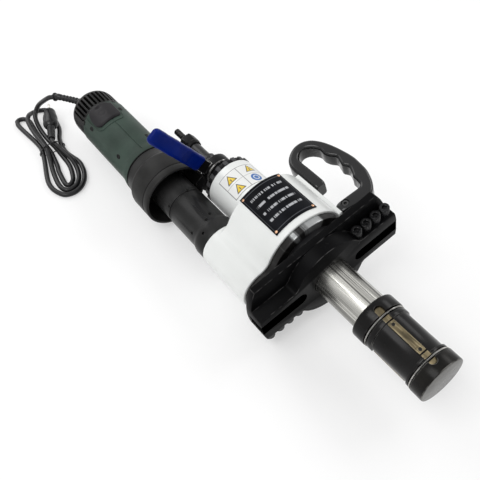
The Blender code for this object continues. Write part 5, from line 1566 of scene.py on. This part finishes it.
def make_garter_springs():
    """The two coiled springs that hold the jaws in, each a fine helix bent round the head."""
    paint = bright_steel("spring_steel", (0.44, 0.43, 0.41))
    detail = bpy.context.scene.beveler_detail
    wire = detail.spring_wire / 2
    per_turn = 9
    for number, at in enumerate(RING_AT, 1):
        growth = Growth(
            f"garter_spring_{number}", MAIN, coils=detail.spring_coils, ring_radius=RING_R * MM,
            coil_radius=(RING_WIRE_R - wire) * MM, wire_radius=wire * MM, place_x=at * MM,
        )
        given, plus, scaled = growth.given, growth.plus, growth.times
        maths = growth.maths
        points = scaled(given("coils"), float(per_turn))
        index = growth.add("InputIndex")
        round_ring = scaled(maths("DIVIDE", index, points), math.tau)
        round_coil = scaled(index, math.tau / per_turn)
        radius = plus(scaled(maths("COSINE", round_coil), given("coil_radius")), given("ring_radius"))
        place = growth.point(
            plus(scaled(maths("SINE", round_coil), given("coil_radius")), given("place_x")),
            scaled(maths("COSINE", round_ring), radius), scaled(maths("SINE", round_ring), radius),
        )
        bent = growth.add("SetPosition", {"Geometry": growth.row(points), "Position": place})
        curve = growth.add("MeshToCurve", {"Mesh": bent})
        closed = growth.add("SetSplineCyclic", {"Geometry": curve, "Cyclic": True})
        coil = growth.on_axis(growth.pipe(closed, 5, given("wire_radius")))
        spring = growth.grow(f"garter_spring_{number}", coil, paint)
        dress(spring, "mandrel", "black_oxide", f"garter_ring_{number}")


def make_jaws():
    """The three straw-coloured jaw strips, each with two small screws."""
    paint = straw_steel()
    screw_paint = black_oxide("jaw_screw_black", (0.02, 0.02, 0.02), 0.8, (0.3, 0.29, 0.27), 0.3)
    top = JAW_TOP
    half = JAW_WIDE / 2
    groove = RING_WIRE_R + 1.0
    rear, front = JAW_X
    notch = BODY_X[1] - 4.4
    heel = BODY_X[0] + 0.6
    side = [(rear, top - 1.0), (rear + 1.0, top)]
    cuts = [(at, groove, GROOVE_R - 0.9) for at in RING_AT] + [(at, 0.9, top - 2.2) for at in JAW_STEPS]
    for at, wide, low in sorted(cuts):
        side += [(at - wide, top), (at - wide, low), (at + wide, low), (at + wide, top)]
    side += [(front - 1.0, top), (front, top - 1.0), (front, JAW_TONGUE), (notch, JAW_TONGUE)]
    side += [(notch, BODY_BORE_R), (CONE_X[1] - 1.5, BODY_BORE_R)]
    for x in (CONE_X[1] - 1.5, CONE_X[0] + 2.0):
        side.append(
            (x, CONE_R[0] + (CONE_R[1] - CONE_R[0]) * (x - CONE_X[0]) / (CONE_X[1] - CONE_X[0]) + 0.5)
        )
    side += [(CONE_X[0] + 2.0, JAW_HEEL), (heel, JAW_HEEL), (heel, JAW_TONGUE), (rear, JAW_TONGUE)]
    head = [(0, 0), (0, 1.95), (1.5, 1.95), (1.9, 1.6), (1.9, 0.95), (0.9, 0.85), (0.9, 0)]
    for number, (letter, angle) in enumerate(zip("abc", JAW_ANGLES), 1):
        slices = []
        for k in range(17):
            across = half * math.sin(math.radians(180.0 * k / 16 - 90.0))
            inward = half - math.sqrt(max(0.0, half * half - across * across))
            ends = (rear + inward, front - inward)
            slices.append(
                [(min(max(x, ends[0]), ends[1]), *turned_by((r, across), angle)) for x, r in side]
            )
        sockets = []
        screws = []
        for x in JAW_SCREWS:
            sockets += rod((x, *polar(top - 2.2, angle)), (x, *polar(top + 3, angle)), 2.1, 28)
            screws += spin((x, *polar(top - 2.3, angle)), (0.0, *polar(1.0, angle)), head, 24)
        body = f"jaw_{letter}"
        strip = [(slices, False)]
        piece(
            f"jaw_strip_{letter}", paint, strip, body, "bronze", f"jaw_{number}", less=[sockets], eased=0.35
        )
        piece(f"jaw_screws_{letter}", screw_paint, screws, body, "black_oxide")


def make_drawbar():
    """The rod with its threaded rear end and its cone, and the nut on it."""
    rear, front = DRAWBAR_REAR + 1.2, DRAWBAR_STEP - 0.5
    thread = []
    r = DRAW_THREAD_R
    pitch = DRAW_THREAD_PITCH
    for i in range(int((front - rear) / pitch)):
        at = rear + i * pitch
        thread += [(at, r), (at + 0.25 * pitch, r), (at + 0.62 * pitch, r - 0.5)]
    bar = turn([
        (DRAWBAR_REAR, 0), (DRAWBAR_REAR, r - 1.2), *thread, (front, r), (DRAWBAR_STEP, r),
        (DRAWBAR_STEP, DRAWBAR_R), (CONE_X[0], DRAWBAR_R), (CONE_X[0], CONE_R[0]),
        (CONE_X[1], CONE_R[1]), (CONE_X[1] + 1.0, CONE_R[1]), (CONE_X[1] + 1.0, 0),
    ], steps=64)
    steel = bright_steel("draw_rod_steel", (0.045, 0.044, 0.043))
    piece("draw_rod", steel, bar, "pull_rod", "bright_steel", "drawbar", sharp=25.0)
    front = NOSE_REAR - GAP
    washer = front - 5.6
    at = DRAWBAR_STEP + 4.0
    rim = DRAW_NUT_R - 0.6
    far = DRAW_NUT_R + 6.0
    corner = DRAW_NUT_R / math.cos(math.radians(30))
    piece(
        "draw_nut_hexagon", black_oxide("nut_black", (0.005, 0.005, 0.0053), 0.35),
        prism([polar(corner, 60 * i + 12) for i in range(6)], at, washer), "pull_nut", "black_oxide",
        "draw_nut",
        joined=[disc(washer - 1.0, front, DRAW_NUT_R, steps=64)], eased=0.3,
        less=(
            disc(DRAWBAR_STEP, NOSE_REAR + 2, DRAWBAR_R + GAP, steps=48),
            turn([(at - 1.0, rim), (at - 1.0, far), (at + 3.4, far), (at, rim)], steps=64),
        ),
    )


def make_feed():
    """The feed nut with its ratchet wheel, and the notched ring that closes the neck."""
    rear, front = NUT_FLANGE_X
    bore = TAIL_R + GAP
    collar = TAIL_R + 1.0
    dark = black_oxide("feed_black", (0.005, 0.005, 0.0053), 0.35, (0.26, 0.255, 0.25), 0.30)
    nut = turn([
        (front, bore), (front, NUT_FLANGE_R), (rear, NUT_FLANGE_R), (rear, NUT_STEM_R),
        (STEM_REAR, NUT_STEM_R),
        (STEM_REAR, collar), (STEM_REAR - 17.0, collar), (STEM_REAR - 17.0, bore),
    ])
    piece("feed_nut_body", dark, nut, "feed", "dark_steel", "feed_nut", eased=0.4)
    wheel = prism(tooth_ring(RATCHET_TEETH, *RATCHET_R), STEM_REAR - 14.5, STEM_REAR - 0.5)
    hole = disc(STEM_REAR - 20, STEM_REAR + 5, collar + GAP)
    piece(
        "ratchet_toothed_wheel", dark, wheel, "feed", "dark_steel", "ratchet_wheel", less=[hole], eased=0.15
    )
    start = NECK_REAR - 8.0
    end = NECK_REAR - GAP
    inner = NUT_STEM_R + 0.5
    outer = NECK_R - 0.9
    ring = turn([(start, inner), (start, NECK_R - 2.2), (start + 1.2, outer), (end, outer), (end, inner)])
    piece("neck_ring_band", dark, ring, "frame", "dark_steel", "neck_ring", eased=0.3)
    tooth = arc(MAIN, NECK_R - 2.0, 5.0, -5.0, 3) + arc(MAIN, NECK_R + 0.2, -4.3, 4.3, 6)
    # The teeth take a lighter copy of the ring's blackened steel, with more bare steel at their edges: a
    # painted highlight on their facets.
    light = black_oxide("neck_tooth_grey", (0.045, 0.045, 0.047), 0.9, (0.5, 0.49, 0.47), 0.32)
    teeth = ringed("neck_ring_teeth", prism(tooth, start + 0.7, end - 0.1), light, 18, 20.0)
    dress(teeth, "frame", "dark_steel")


def sleeve_rings():
    """The blue sleeve's sections from its root to its round end, a little uneven as dipped vinyl is."""
    half = LEVER_WIDE / 2 + 2.0
    tip = LEVER_TIP + 3.0
    root = SLEEVE_ROOT + 1.6
    end = 9.0
    stations = [(SLEEVE_ROOT, 0.90), (SLEEVE_ROOT + 0.6, 0.97), (root, 1.0)]
    stations += [(root + (tip - 10.0 - root) * i / 40, 1.0) for i in range(1, 41)]
    for i in range(1, 13):
        t = math.pi / 2 * i / 12
        stations.append((tip - end + end * math.sin(t), max(0.12, math.cos(t) ** 0.55)))
    rings = []
    for out, scale in stations:
        wave = 1.0 + 0.012 * math.sin(out * 0.21) + 0.008 * math.sin(out * 0.47 + 1.0)
        thick = SLEEVE_HALF * scale * (0.97 * wave)
        wide = half * (1.0 - (1.0 - scale) * 0.75) * 0.985 * wave
        section = rounded_section(thick, thick, wide, min(4.2, thick * 0.85))
        rings.append([(LEVER_X + a, *turned_by((out, LEVER_OFFSET + b), LEVER_ANGLE)) for a, b in section])
    return rings


def make_lever():
    """The feed lever: its hub, steel bar, pawl box and dipped blue sleeve."""
    rear = LEVER_X - 7.2
    front = LEVER_X + 9.2
    step = front - 3.5
    hub = turn([
        (rear, LEVER_BORE_R), (rear, LEVER_HUB_R - 1), (rear + 1, LEVER_HUB_R), (front - 1, LEVER_HUB_R),
        (front, LEVER_HUB_R - 1), (front, NUT_STEM_R + 0.5), (step, NUT_STEM_R + 0.5), (step, LEVER_BORE_R),
    ])
    thick = (LEVER_X - LEVER_THICK / 2, LEVER_X + LEVER_THICK / 2)
    across = (LEVER_OFFSET - LEVER_WIDE / 2, LEVER_OFFSET + LEVER_WIDE / 2)
    bar = block(thick, (17.4, SLEEVE_ROOT + 12.0), across, LEVER_ANGLE)
    pawl_box = block((rear + 1, step), (17.8, 33.0), (-9.0, 9.0), PAWL_ANGLE)
    pawl_way = block((LEVER_X - 3.4, LEVER_X + 3.4), (14.0, 29.0), (-3.4, 3.4), PAWL_ANGLE)
    piece(
        "lever_arm", black_oxide("lever_black", (0.005, 0.005, 0.0053), 0.8, (0.50, 0.49, 0.48), 0.3), hub,
        "lever", "black_oxide", "feed_lever", joined=(bar, pawl_box), less=[pawl_way], eased=0.8,
    )
    pawl = block((LEVER_X - 3.0, LEVER_X + 3.0), (15.9, 24.0), (-3.0, 3.0), PAWL_ANGLE)
    steel = bright_steel("pawl_steel", (0.45, 0.44, 0.43))
    piece("pawl_plunger", steel, pawl, "pawl", "bright_steel", "pawl", eased=0.3)
    vinyl = blue_vinyl(shade("sleeve"))
    piece(
        "blue_sleeve", vinyl, [(sleeve_rings(), False)], "lever", "blue_vinyl", "lever_sleeve", sharp=60.0
    )


def make_drive_tube():
    """The tube between casing and gearbox, with its groove and set screws."""
    rear, front = TUBE_X
    x0, x1 = TUBE_GROOVE_X
    slim = TUBE_R - 0.6
    groove = TUBE_R - 2.2
    foot = TUBE_FOOT_R - 1.2
    body = turn([
        (rear, TUBE_BORE_R), (rear, slim), (x0, slim), (x0 + 0.2, groove), (x1 - 0.2, groove), (x1, TUBE_R),
        (TUBE_STEP - 6, TUBE_R), (TUBE_STEP - 3.5, TUBE_R + 0.4), (TUBE_STEP - 1.2, foot - 1.2),
        (TUBE_STEP + 0.8, foot - 0.4), (TUBE_STEP + 3.5, foot), (front, foot), (front, TUBE_BORE_R),
    ], MOTOR)
    holes = []
    screws = []
    for x, angle in TUBE_SCREWS:
        holes += rod(
            (x, *polar(TUBE_BORE_R - 2, angle, MOTOR)), (x, *polar(TUBE_R + 4, angle, MOTOR)), 2.2, 28
        )
        end = (x, *polar(TUBE_R - 7.0, angle, MOTOR))
        screws += socket_screw(end, (0.0, *polar(1.0, angle)), 1.4, 2.1, 0.6, 6.0, 1.0, 36)
    piece(
        "drive_tube_body",
        black_oxide("tube_black", (0.012, 0.012, 0.012), 0.12, (0.2, 0.195, 0.19), 0.32, gleam=0.12),
        body, "frame", "black_oxide", "drive_tube", eased=0.35,
        less=(holes, disc(TUBE_STEP - 8, CASE_REAR + 1, NECK_R + 0.5)),
    )
    black = black_oxide("set_screw_black", (0.012, 0.012, 0.012), 0.5)
    piece("tube_set_screws", black, screws, "frame", "black_oxide")


def make_bell():
    """The gearbox bell: a dark grey moulding, open at the front, with small screws on its inner floor."""
    rear, mouth = BELL_X
    groove = mouth - 11.0
    flare = HOUSING_R + 3.0
    outside = [
        (0.0, flare - 0.8), (0.8, flare), (7.0, flare + 1.2), (12.0, flare + 2.2), (16.0, BELL_R - 4.0),
        (19.0, BELL_R - 2.0), (21.5, BELL_R - 0.5), (24.0, BELL_R),
    ]
    body = turn([
        (rear, DRIVE_R + GAP), *[(rear + x, r) for x, r in outside],
        (groove - 0.9, BELL_R), (groove - 0.5, BELL_R - 1.1), (groove + 0.5, BELL_R - 1.1),
        (groove + 0.9, BELL_R),
        (mouth - 1.2, BELL_R), (mouth - 0.4, BELL_R - 0.4), (mouth, BELL_R - 1.2), (mouth, BELL_R - 3.4),
        (BELL_FLOOR, BELL_R - 4.2), (BELL_FLOOR, DRIVE_R + GAP),
    ], MOTOR)
    grey = moulded("bell_grey", (0.013, 0.0128, 0.0125), 0.34, 700.0, 0.00004, 0.0, 0.7, 0.10)
    piece(
        "gearbox_bell_body", grey, body, "frame", "black_plastic", "gearbox_bell", eased=0.25, angle=40.0
    )
    end = (BELL_FLOOR - 1.0, BELL_SCREW_CIRCLE_R, 0.0)
    screw = socket_screw(end, (1.0, 0.0, 0.0), 2.0, 3.3, 0.8, 4.6, 1.4, 36)
    black = black_oxide("bell_screw_black", (0.012, 0.012, 0.012), 0.5)
    dress(ringed("bell_screws", screw, black, 4, 90.0, MOTOR, 35.0), "frame", "black_oxide")


def make_motor():
    """The green motor housing with its parting lines and screw covers."""
    rear, front = HOUSING_X
    flare = HOUSING_R + 3.0
    green = motor_green(shade("motor"))
    swell = [(-22.0, 0.0), (-18.0, 0.35), (-13.0, 1.3), (-9.0, 2.5), (-6.0, 2.9), (-4.0, 3.0)]
    body = turn([
        (rear, HOUSING_BORE_R), (rear, HOUSING_R - 0.5), (rear + 0.5, HOUSING_R),
        *[(front + x, HOUSING_R + r) for x, r in swell], (front - 0.6, flare), (front, flare - 0.6),
        (front, HOUSING_BORE_R),
    ], MOTOR)
    lines = []
    for angle in (LEAN + 80.0, LEAN + 260.0):
        lines += block((rear - 5, front - 8.0), (34.6, 44), (-0.35, 0.35), angle, MOTOR)
    latches = []
    for angle in (60.0, 156.0):
        latches += block((rear - 5, rear + 3.6), (34.4, 44), (-3.2, 3.2), angle, MOTOR)
    piece(
        "motor_body", green, body, "frame", "green_plastic", "motor_housing", less=(lines, latches),
        eased=0.25,
        angle=35.0,
    )
    covers = []
    for x, angle in SCREW_COVERS:
        rings = []
        for lift, size in ((-0.6, 1.0), (0.25, 1.0), (0.5, 0.9), (0.5, 0.62), (0.1, 0.55)):
            rings.append([
                (x + a, *polar(HOUSING_R + lift, angle + math.degrees(b / HOUSING_R), MOTOR))
                for a, b in oval(4.4 * size, 3.0 * size)
            ])
        covers.append((rings, False))
    piece(
        "motor_screw_covers", moulded("cover_black", (0.003, 0.003, 0.003), 0.35), covers, "frame",
        "black_plastic"
    )
    line = smooth_path([(x, math.radians(angle) * HOUSING_R, 0.0) for x, angle in LEDGE], 1.5)
    path = [Vector((x, *polar(HOUSING_R + 0.1, math.degrees(y / HOUSING_R), MOTOR))) for x, y, _ in line]
    bead = sweep(path, [oval(0.9, 0.9, TINY_ROUND)] * len(path), (0.0, *polar(1.0, 106.0)))
    piece("switch_ledge", green, bead, "frame", "green_plastic", sharp=50.0)


def make_rear_cap():
    """The black cap behind the motor, its air slots cut by a cutter that a node tree repeats."""
    x0, x1 = REAR_CAP_X
    r = REAR_CAP_R
    bore = RELIEF_R + GAP
    dome = [
        (0.0, 9.0), (0.6, 6.9), (1.6, 5.0), (3.1, 3.3), (5.0, 2.0), (7.0, 1.2), (9.5, 0.6), (12.5, 0.2),
        (16.0, 0.0),
    ]
    body = turn([
        (x0, bore), *[(x0 + x, r - less) for x, less in dome], (x1 - 0.5, r),
        (x1, r - 0.5), (x1, HOUSING_BORE_R), (x0 + 14.0, HOUSING_BORE_R), (x0 + 5.0, r - 10.0),
        (x0 + 5.0, 14.0), (x0 + 17.0, 14.0), (x0 + 17.0, 5.1), (x0 + 6.5, 5.1), (x0 + 6.5, bore),
    ], MOTOR)
    black = moulded("cap_black", (0.008, 0.0078, 0.0077), 0.3, 700.0, 0.00004, 0.0, 0.5)
    cap = drawn(body, "rear_cap", black)
    rear = x0 + 10.0
    front = x1 - 4.1
    side = [(rear, r - 9.0), (rear, r + 4.0), (front, r + 4.0), (front, r - 6.0), (x0 + 15.0, r - 6.0)]
    slot = [([[(x, out, across) for x, out in side] for across in (-VENT_HALF, VENT_HALF)], False)]
    for count, step, start in ((VENTS, VENT_STEP, VENT_START), (4, 3 * VENT_STEP, VENT_START + 180.0)):
        combine(cap, "DIFFERENCE", ringed("slot_cutters", slot, black, count, step, MOTOR, start))
    ease(cap, 0.3, 38.0)
    dress(cap, "frame", "black_plastic", "rear_vent_cap")


def make_switch():
    """The curved slide switch with its thumb notch."""
    rows = smooth_path(SWITCH_ROWS, 1.6)
    first, last = rows[0][0], rows[-1][0]
    columns = 32

    def mm_from(place, x, angle):
        return x - place[0], math.radians(angle - place[1]) * HOUSING_R

    def point(i, k, top):
        angle, rear, front = rows[i]
        x = rear + (front - rear) * k / columns
        if not top:
            return (x, *polar(HOUSING_R + GAP, angle, MOTOR))
        t = 2.0 * (angle - first) / (last - first) - 1.0
        s = 2.0 * k / columns - 1.0
        edge = min(1.0, (1.0 - abs(t)) * 9.0, (1.0 - abs(s)) * 8.0)
        a, b = mm_from(SWITCH_DIMPLE, x, angle)
        dish = -1.6 * math.exp(-((a / 2.2) ** 2) - ((b / 3.6) ** 2))
        far = math.hypot(*mm_from(SWITCH_DISC, x, angle))
        rim = -0.45 * math.exp(-(((far - 4.6) / 0.6) ** 2))
        lift = GAP + (SWITCH_THICK - GAP) * (0.3 + 0.7 * math.sin(edge * math.pi / 2)) + dish + rim
        return (x, *polar(HOUSING_R + max(lift, 2 * GAP), angle, MOTOR))

    black = moulded("switch_black", (0.012, 0.011, 0.0125), 0.34, 600.0, 0.00003)
    switch = shell("slide_switch", black, len(rows) - 1, columns, point)
    smooth(switch, 50.0)
    dress(switch, "switch", "black_plastic", "switch_slide")


def finish_inner_nodes():
    """Good finishes for the CAD's own gears, bearings, windings and brushes."""
    finishes = {
        black_oxide("gear_black", (0.05, 0.05, 0.052), 0.6, (0.45, 0.44, 0.43), 0.3): (
            "main_gear", "planet_gear_1", "planet_gear_2", "planet_gear_3", "ring_gear", "gearbox_plate",
        ),
        bright_steel("bearing_steel", (0.62, 0.61, 0.60)): (
            "front_bearing", "rear_bearing", "pinion_bearing_front", "pinion_bearing_rear", "pinion_shaft",
            "planet_carrier",
        ),
        copper_wire(): ("stator", "armature"),
        bright_steel("commutator_copper", (0.72, 0.42, 0.27), along=True): ("commutator",),
        moulded("carbon_black", (0.03, 0.03, 0.031), 0.5, 1200.0): ("carbon_brush_1", "carbon_brush_2"),
        moulded("fan_black", (0.02, 0.02, 0.022), 0.35): ("cooling_fan",),
    }
    for material, nodes in finishes.items():
        for node in nodes:
            for slot in bpy.data.objects[node].material_slots:
                slot.material = material


def colour_property(name, words, default):
    return bpy.props.FloatVectorProperty(
        name=name, description=words, default=default, size=3, min=0.0, max=1.0, subtype="COLOR"
    )


class BevelerColours(bpy.types.PropertyGroup):
    """The colours of the machine's main parts."""

    casing: colour_property("Casing", "Enamel on the casing and its neck", (0.76, 0.775, 0.76))
    handle: colour_property("Handle", "Moulded carrying handle", (0.005, 0.005, 0.0055))
    head: colour_property("Cutter head", "Blackened steel of the cutter head", (0.0022, 0.0022, 0.0024))
    mandrel: colour_property(
        "Mandrel", "Blackened steel of the expanding mandrel", (0.0042, 0.0040, 0.0040)
    )
    sleeve: colour_property("Lever sleeve", "Dipped vinyl on the feed lever", (0.001, 0.011, 0.145))
    motor: colour_property("Motor", "Moulded motor housing", (0.037, 0.055, 0.045))


class BevelerDetail(bpy.types.PropertyGroup):
    """The sizes of the fine pieces."""

    spring_wire: bpy.props.FloatProperty(
        name="Spring wire", description="Wire diameter of the garter springs, in millimetres",
        default=0.55, min=0.2, max=1.0,
    )
    spring_coils: bpy.props.IntProperty(
        name="Spring coils", description="Coils in each garter spring", default=250, min=60, max=320,
    )


def shade(name):
    return tuple(getattr(bpy.context.scene.beveler_colours, name))


class Step:
    """What each operator does: it runs its makers in turn."""

    makers = ()

    def execute(self, context):
        for make in self.makers:
            make()
        return {"FINISHED"}


class StageOperator(Step, bpy.types.Operator):
    """Set up the floor, the lamps, the world and the camera"""

    bl_idname = "beveler.stage"
    bl_label = "Stage"
    makers = (make_stage,)


class CordOperator(Step, bpy.types.Operator):
    """Lay the power cord with its strain relief, plug and tie"""

    bl_idname = "beveler.cord"
    bl_label = "Power cord"
    makers = (make_cord,)


class CasingOperator(Step, bpy.types.Operator):
    """Make the white casing and the sticker sheet on its neck"""

    bl_idname = "beveler.casing"
    bl_label = "Casing"
    makers = (make_casing,)


class FlangeOperator(Step, bpy.types.Operator):
    """Make the burnished front flange"""

    bl_idname = "beveler.flange"
    bl_label = "Front flange"
    makers = (make_flange,)


class NameplateOperator(Step, bpy.types.Operator):
    """Make the plain nameplate and its rivets"""

    bl_idname = "beveler.nameplate"
    bl_label = "Nameplate"
    makers = (make_nameplate,)


class HandleOperator(Step, bpy.types.Operator):
    """Make the looped carrying handle and its screws"""

    bl_idname = "beveler.handle"
    bl_label = "Carrying handle"
    makers = (make_handle,)


class HeadOperator(Step, bpy.types.Operator):
    """Make the spindle flange, the cutter head and its clamp screws"""

    bl_idname = "beveler.head"
    bl_label = "Cutter head"
    makers = (make_spindle_flange, make_cutter_head, make_clamp_screws)


class MandrelOperator(Step, bpy.types.Operator):
    """Make the expanding mandrel with its jaws, garter springs and drawbar"""

    bl_idname = "beveler.mandrel"
    bl_label = "Expanding mandrel"
    makers = (make_mandrel, make_garter_springs, make_jaws, make_drawbar)


class FeedOperator(Step, bpy.types.Operator):
    """Make the feed nut, its ratchet wheel and the neck's notched ring"""

    bl_idname = "beveler.feed"
    bl_label = "Feed nut"
    makers = (make_feed,)


class LeverOperator(Step, bpy.types.Operator):
    """Make the feed lever with its blue sleeve"""

    bl_idname = "beveler.lever"
    bl_label = "Feed lever"
    makers = (make_lever,)


class DriveOperator(Step, bpy.types.Operator):
    """Make the drive tube and the gearbox bell"""

    bl_idname = "beveler.drive"
    bl_label = "Drive tube and bell"
    makers = (make_drive_tube, make_bell)


class MotorOperator(Step, bpy.types.Operator):
    """Make the motor housing, its vented rear cap and its switch"""

    bl_idname = "beveler.motor"
    bl_label = "Motor"
    makers = (make_motor, make_rear_cap, make_switch)


class InnerOperator(Step, bpy.types.Operator):
    """Give the gears, bearings and windings inside their finishes"""

    bl_idname = "beveler.inner"
    bl_label = "Inner parts"
    makers = (finish_inner_nodes,)


OPERATORS = (
    StageOperator, CordOperator, CasingOperator, FlangeOperator, NameplateOperator, HandleOperator,
    HeadOperator,
    MandrelOperator, FeedOperator, LeverOperator, DriveOperator, MotorOperator, InnerOperator,
)


class BevelerPanel(bpy.types.Panel):
    """The machine's colours, fine sizes and pieces"""

    bl_idname = "VIEW3D_PT_beveler"
    bl_label = "Pipe beveling machine"
    bl_space_type = "VIEW_3D"
    bl_region_type = "UI"
    bl_category = "Beveler"

    def draw(self, context):
        column = self.layout.column()
        for group in (context.scene.beveler_colours, context.scene.beveler_detail):
            for name in group.__annotations__:
                column.prop(group, name)
        for operator in OPERATORS:
            column.operator(operator.bl_idname)


def register():
    for kind in (BevelerColours, BevelerDetail, *OPERATORS, BevelerPanel):
        bpy.utils.register_class(kind)
    bpy.types.Scene.beveler_colours = bpy.props.PointerProperty(type=BevelerColours)
    bpy.types.Scene.beveler_detail = bpy.props.PointerProperty(type=BevelerDetail)


def unregister():
    del bpy.types.Scene.beveler_detail
    del bpy.types.Scene.beveler_colours
    for kind in (BevelerPanel, *reversed(OPERATORS), BevelerDetail, BevelerColours):
        bpy.utils.unregister_class(kind)


def main():
    register()
    for operator in OPERATORS:
        getattr(bpy.ops.beveler, operator.bl_idname.split(".")[1])()


if __name__ == "__main__":
    main()
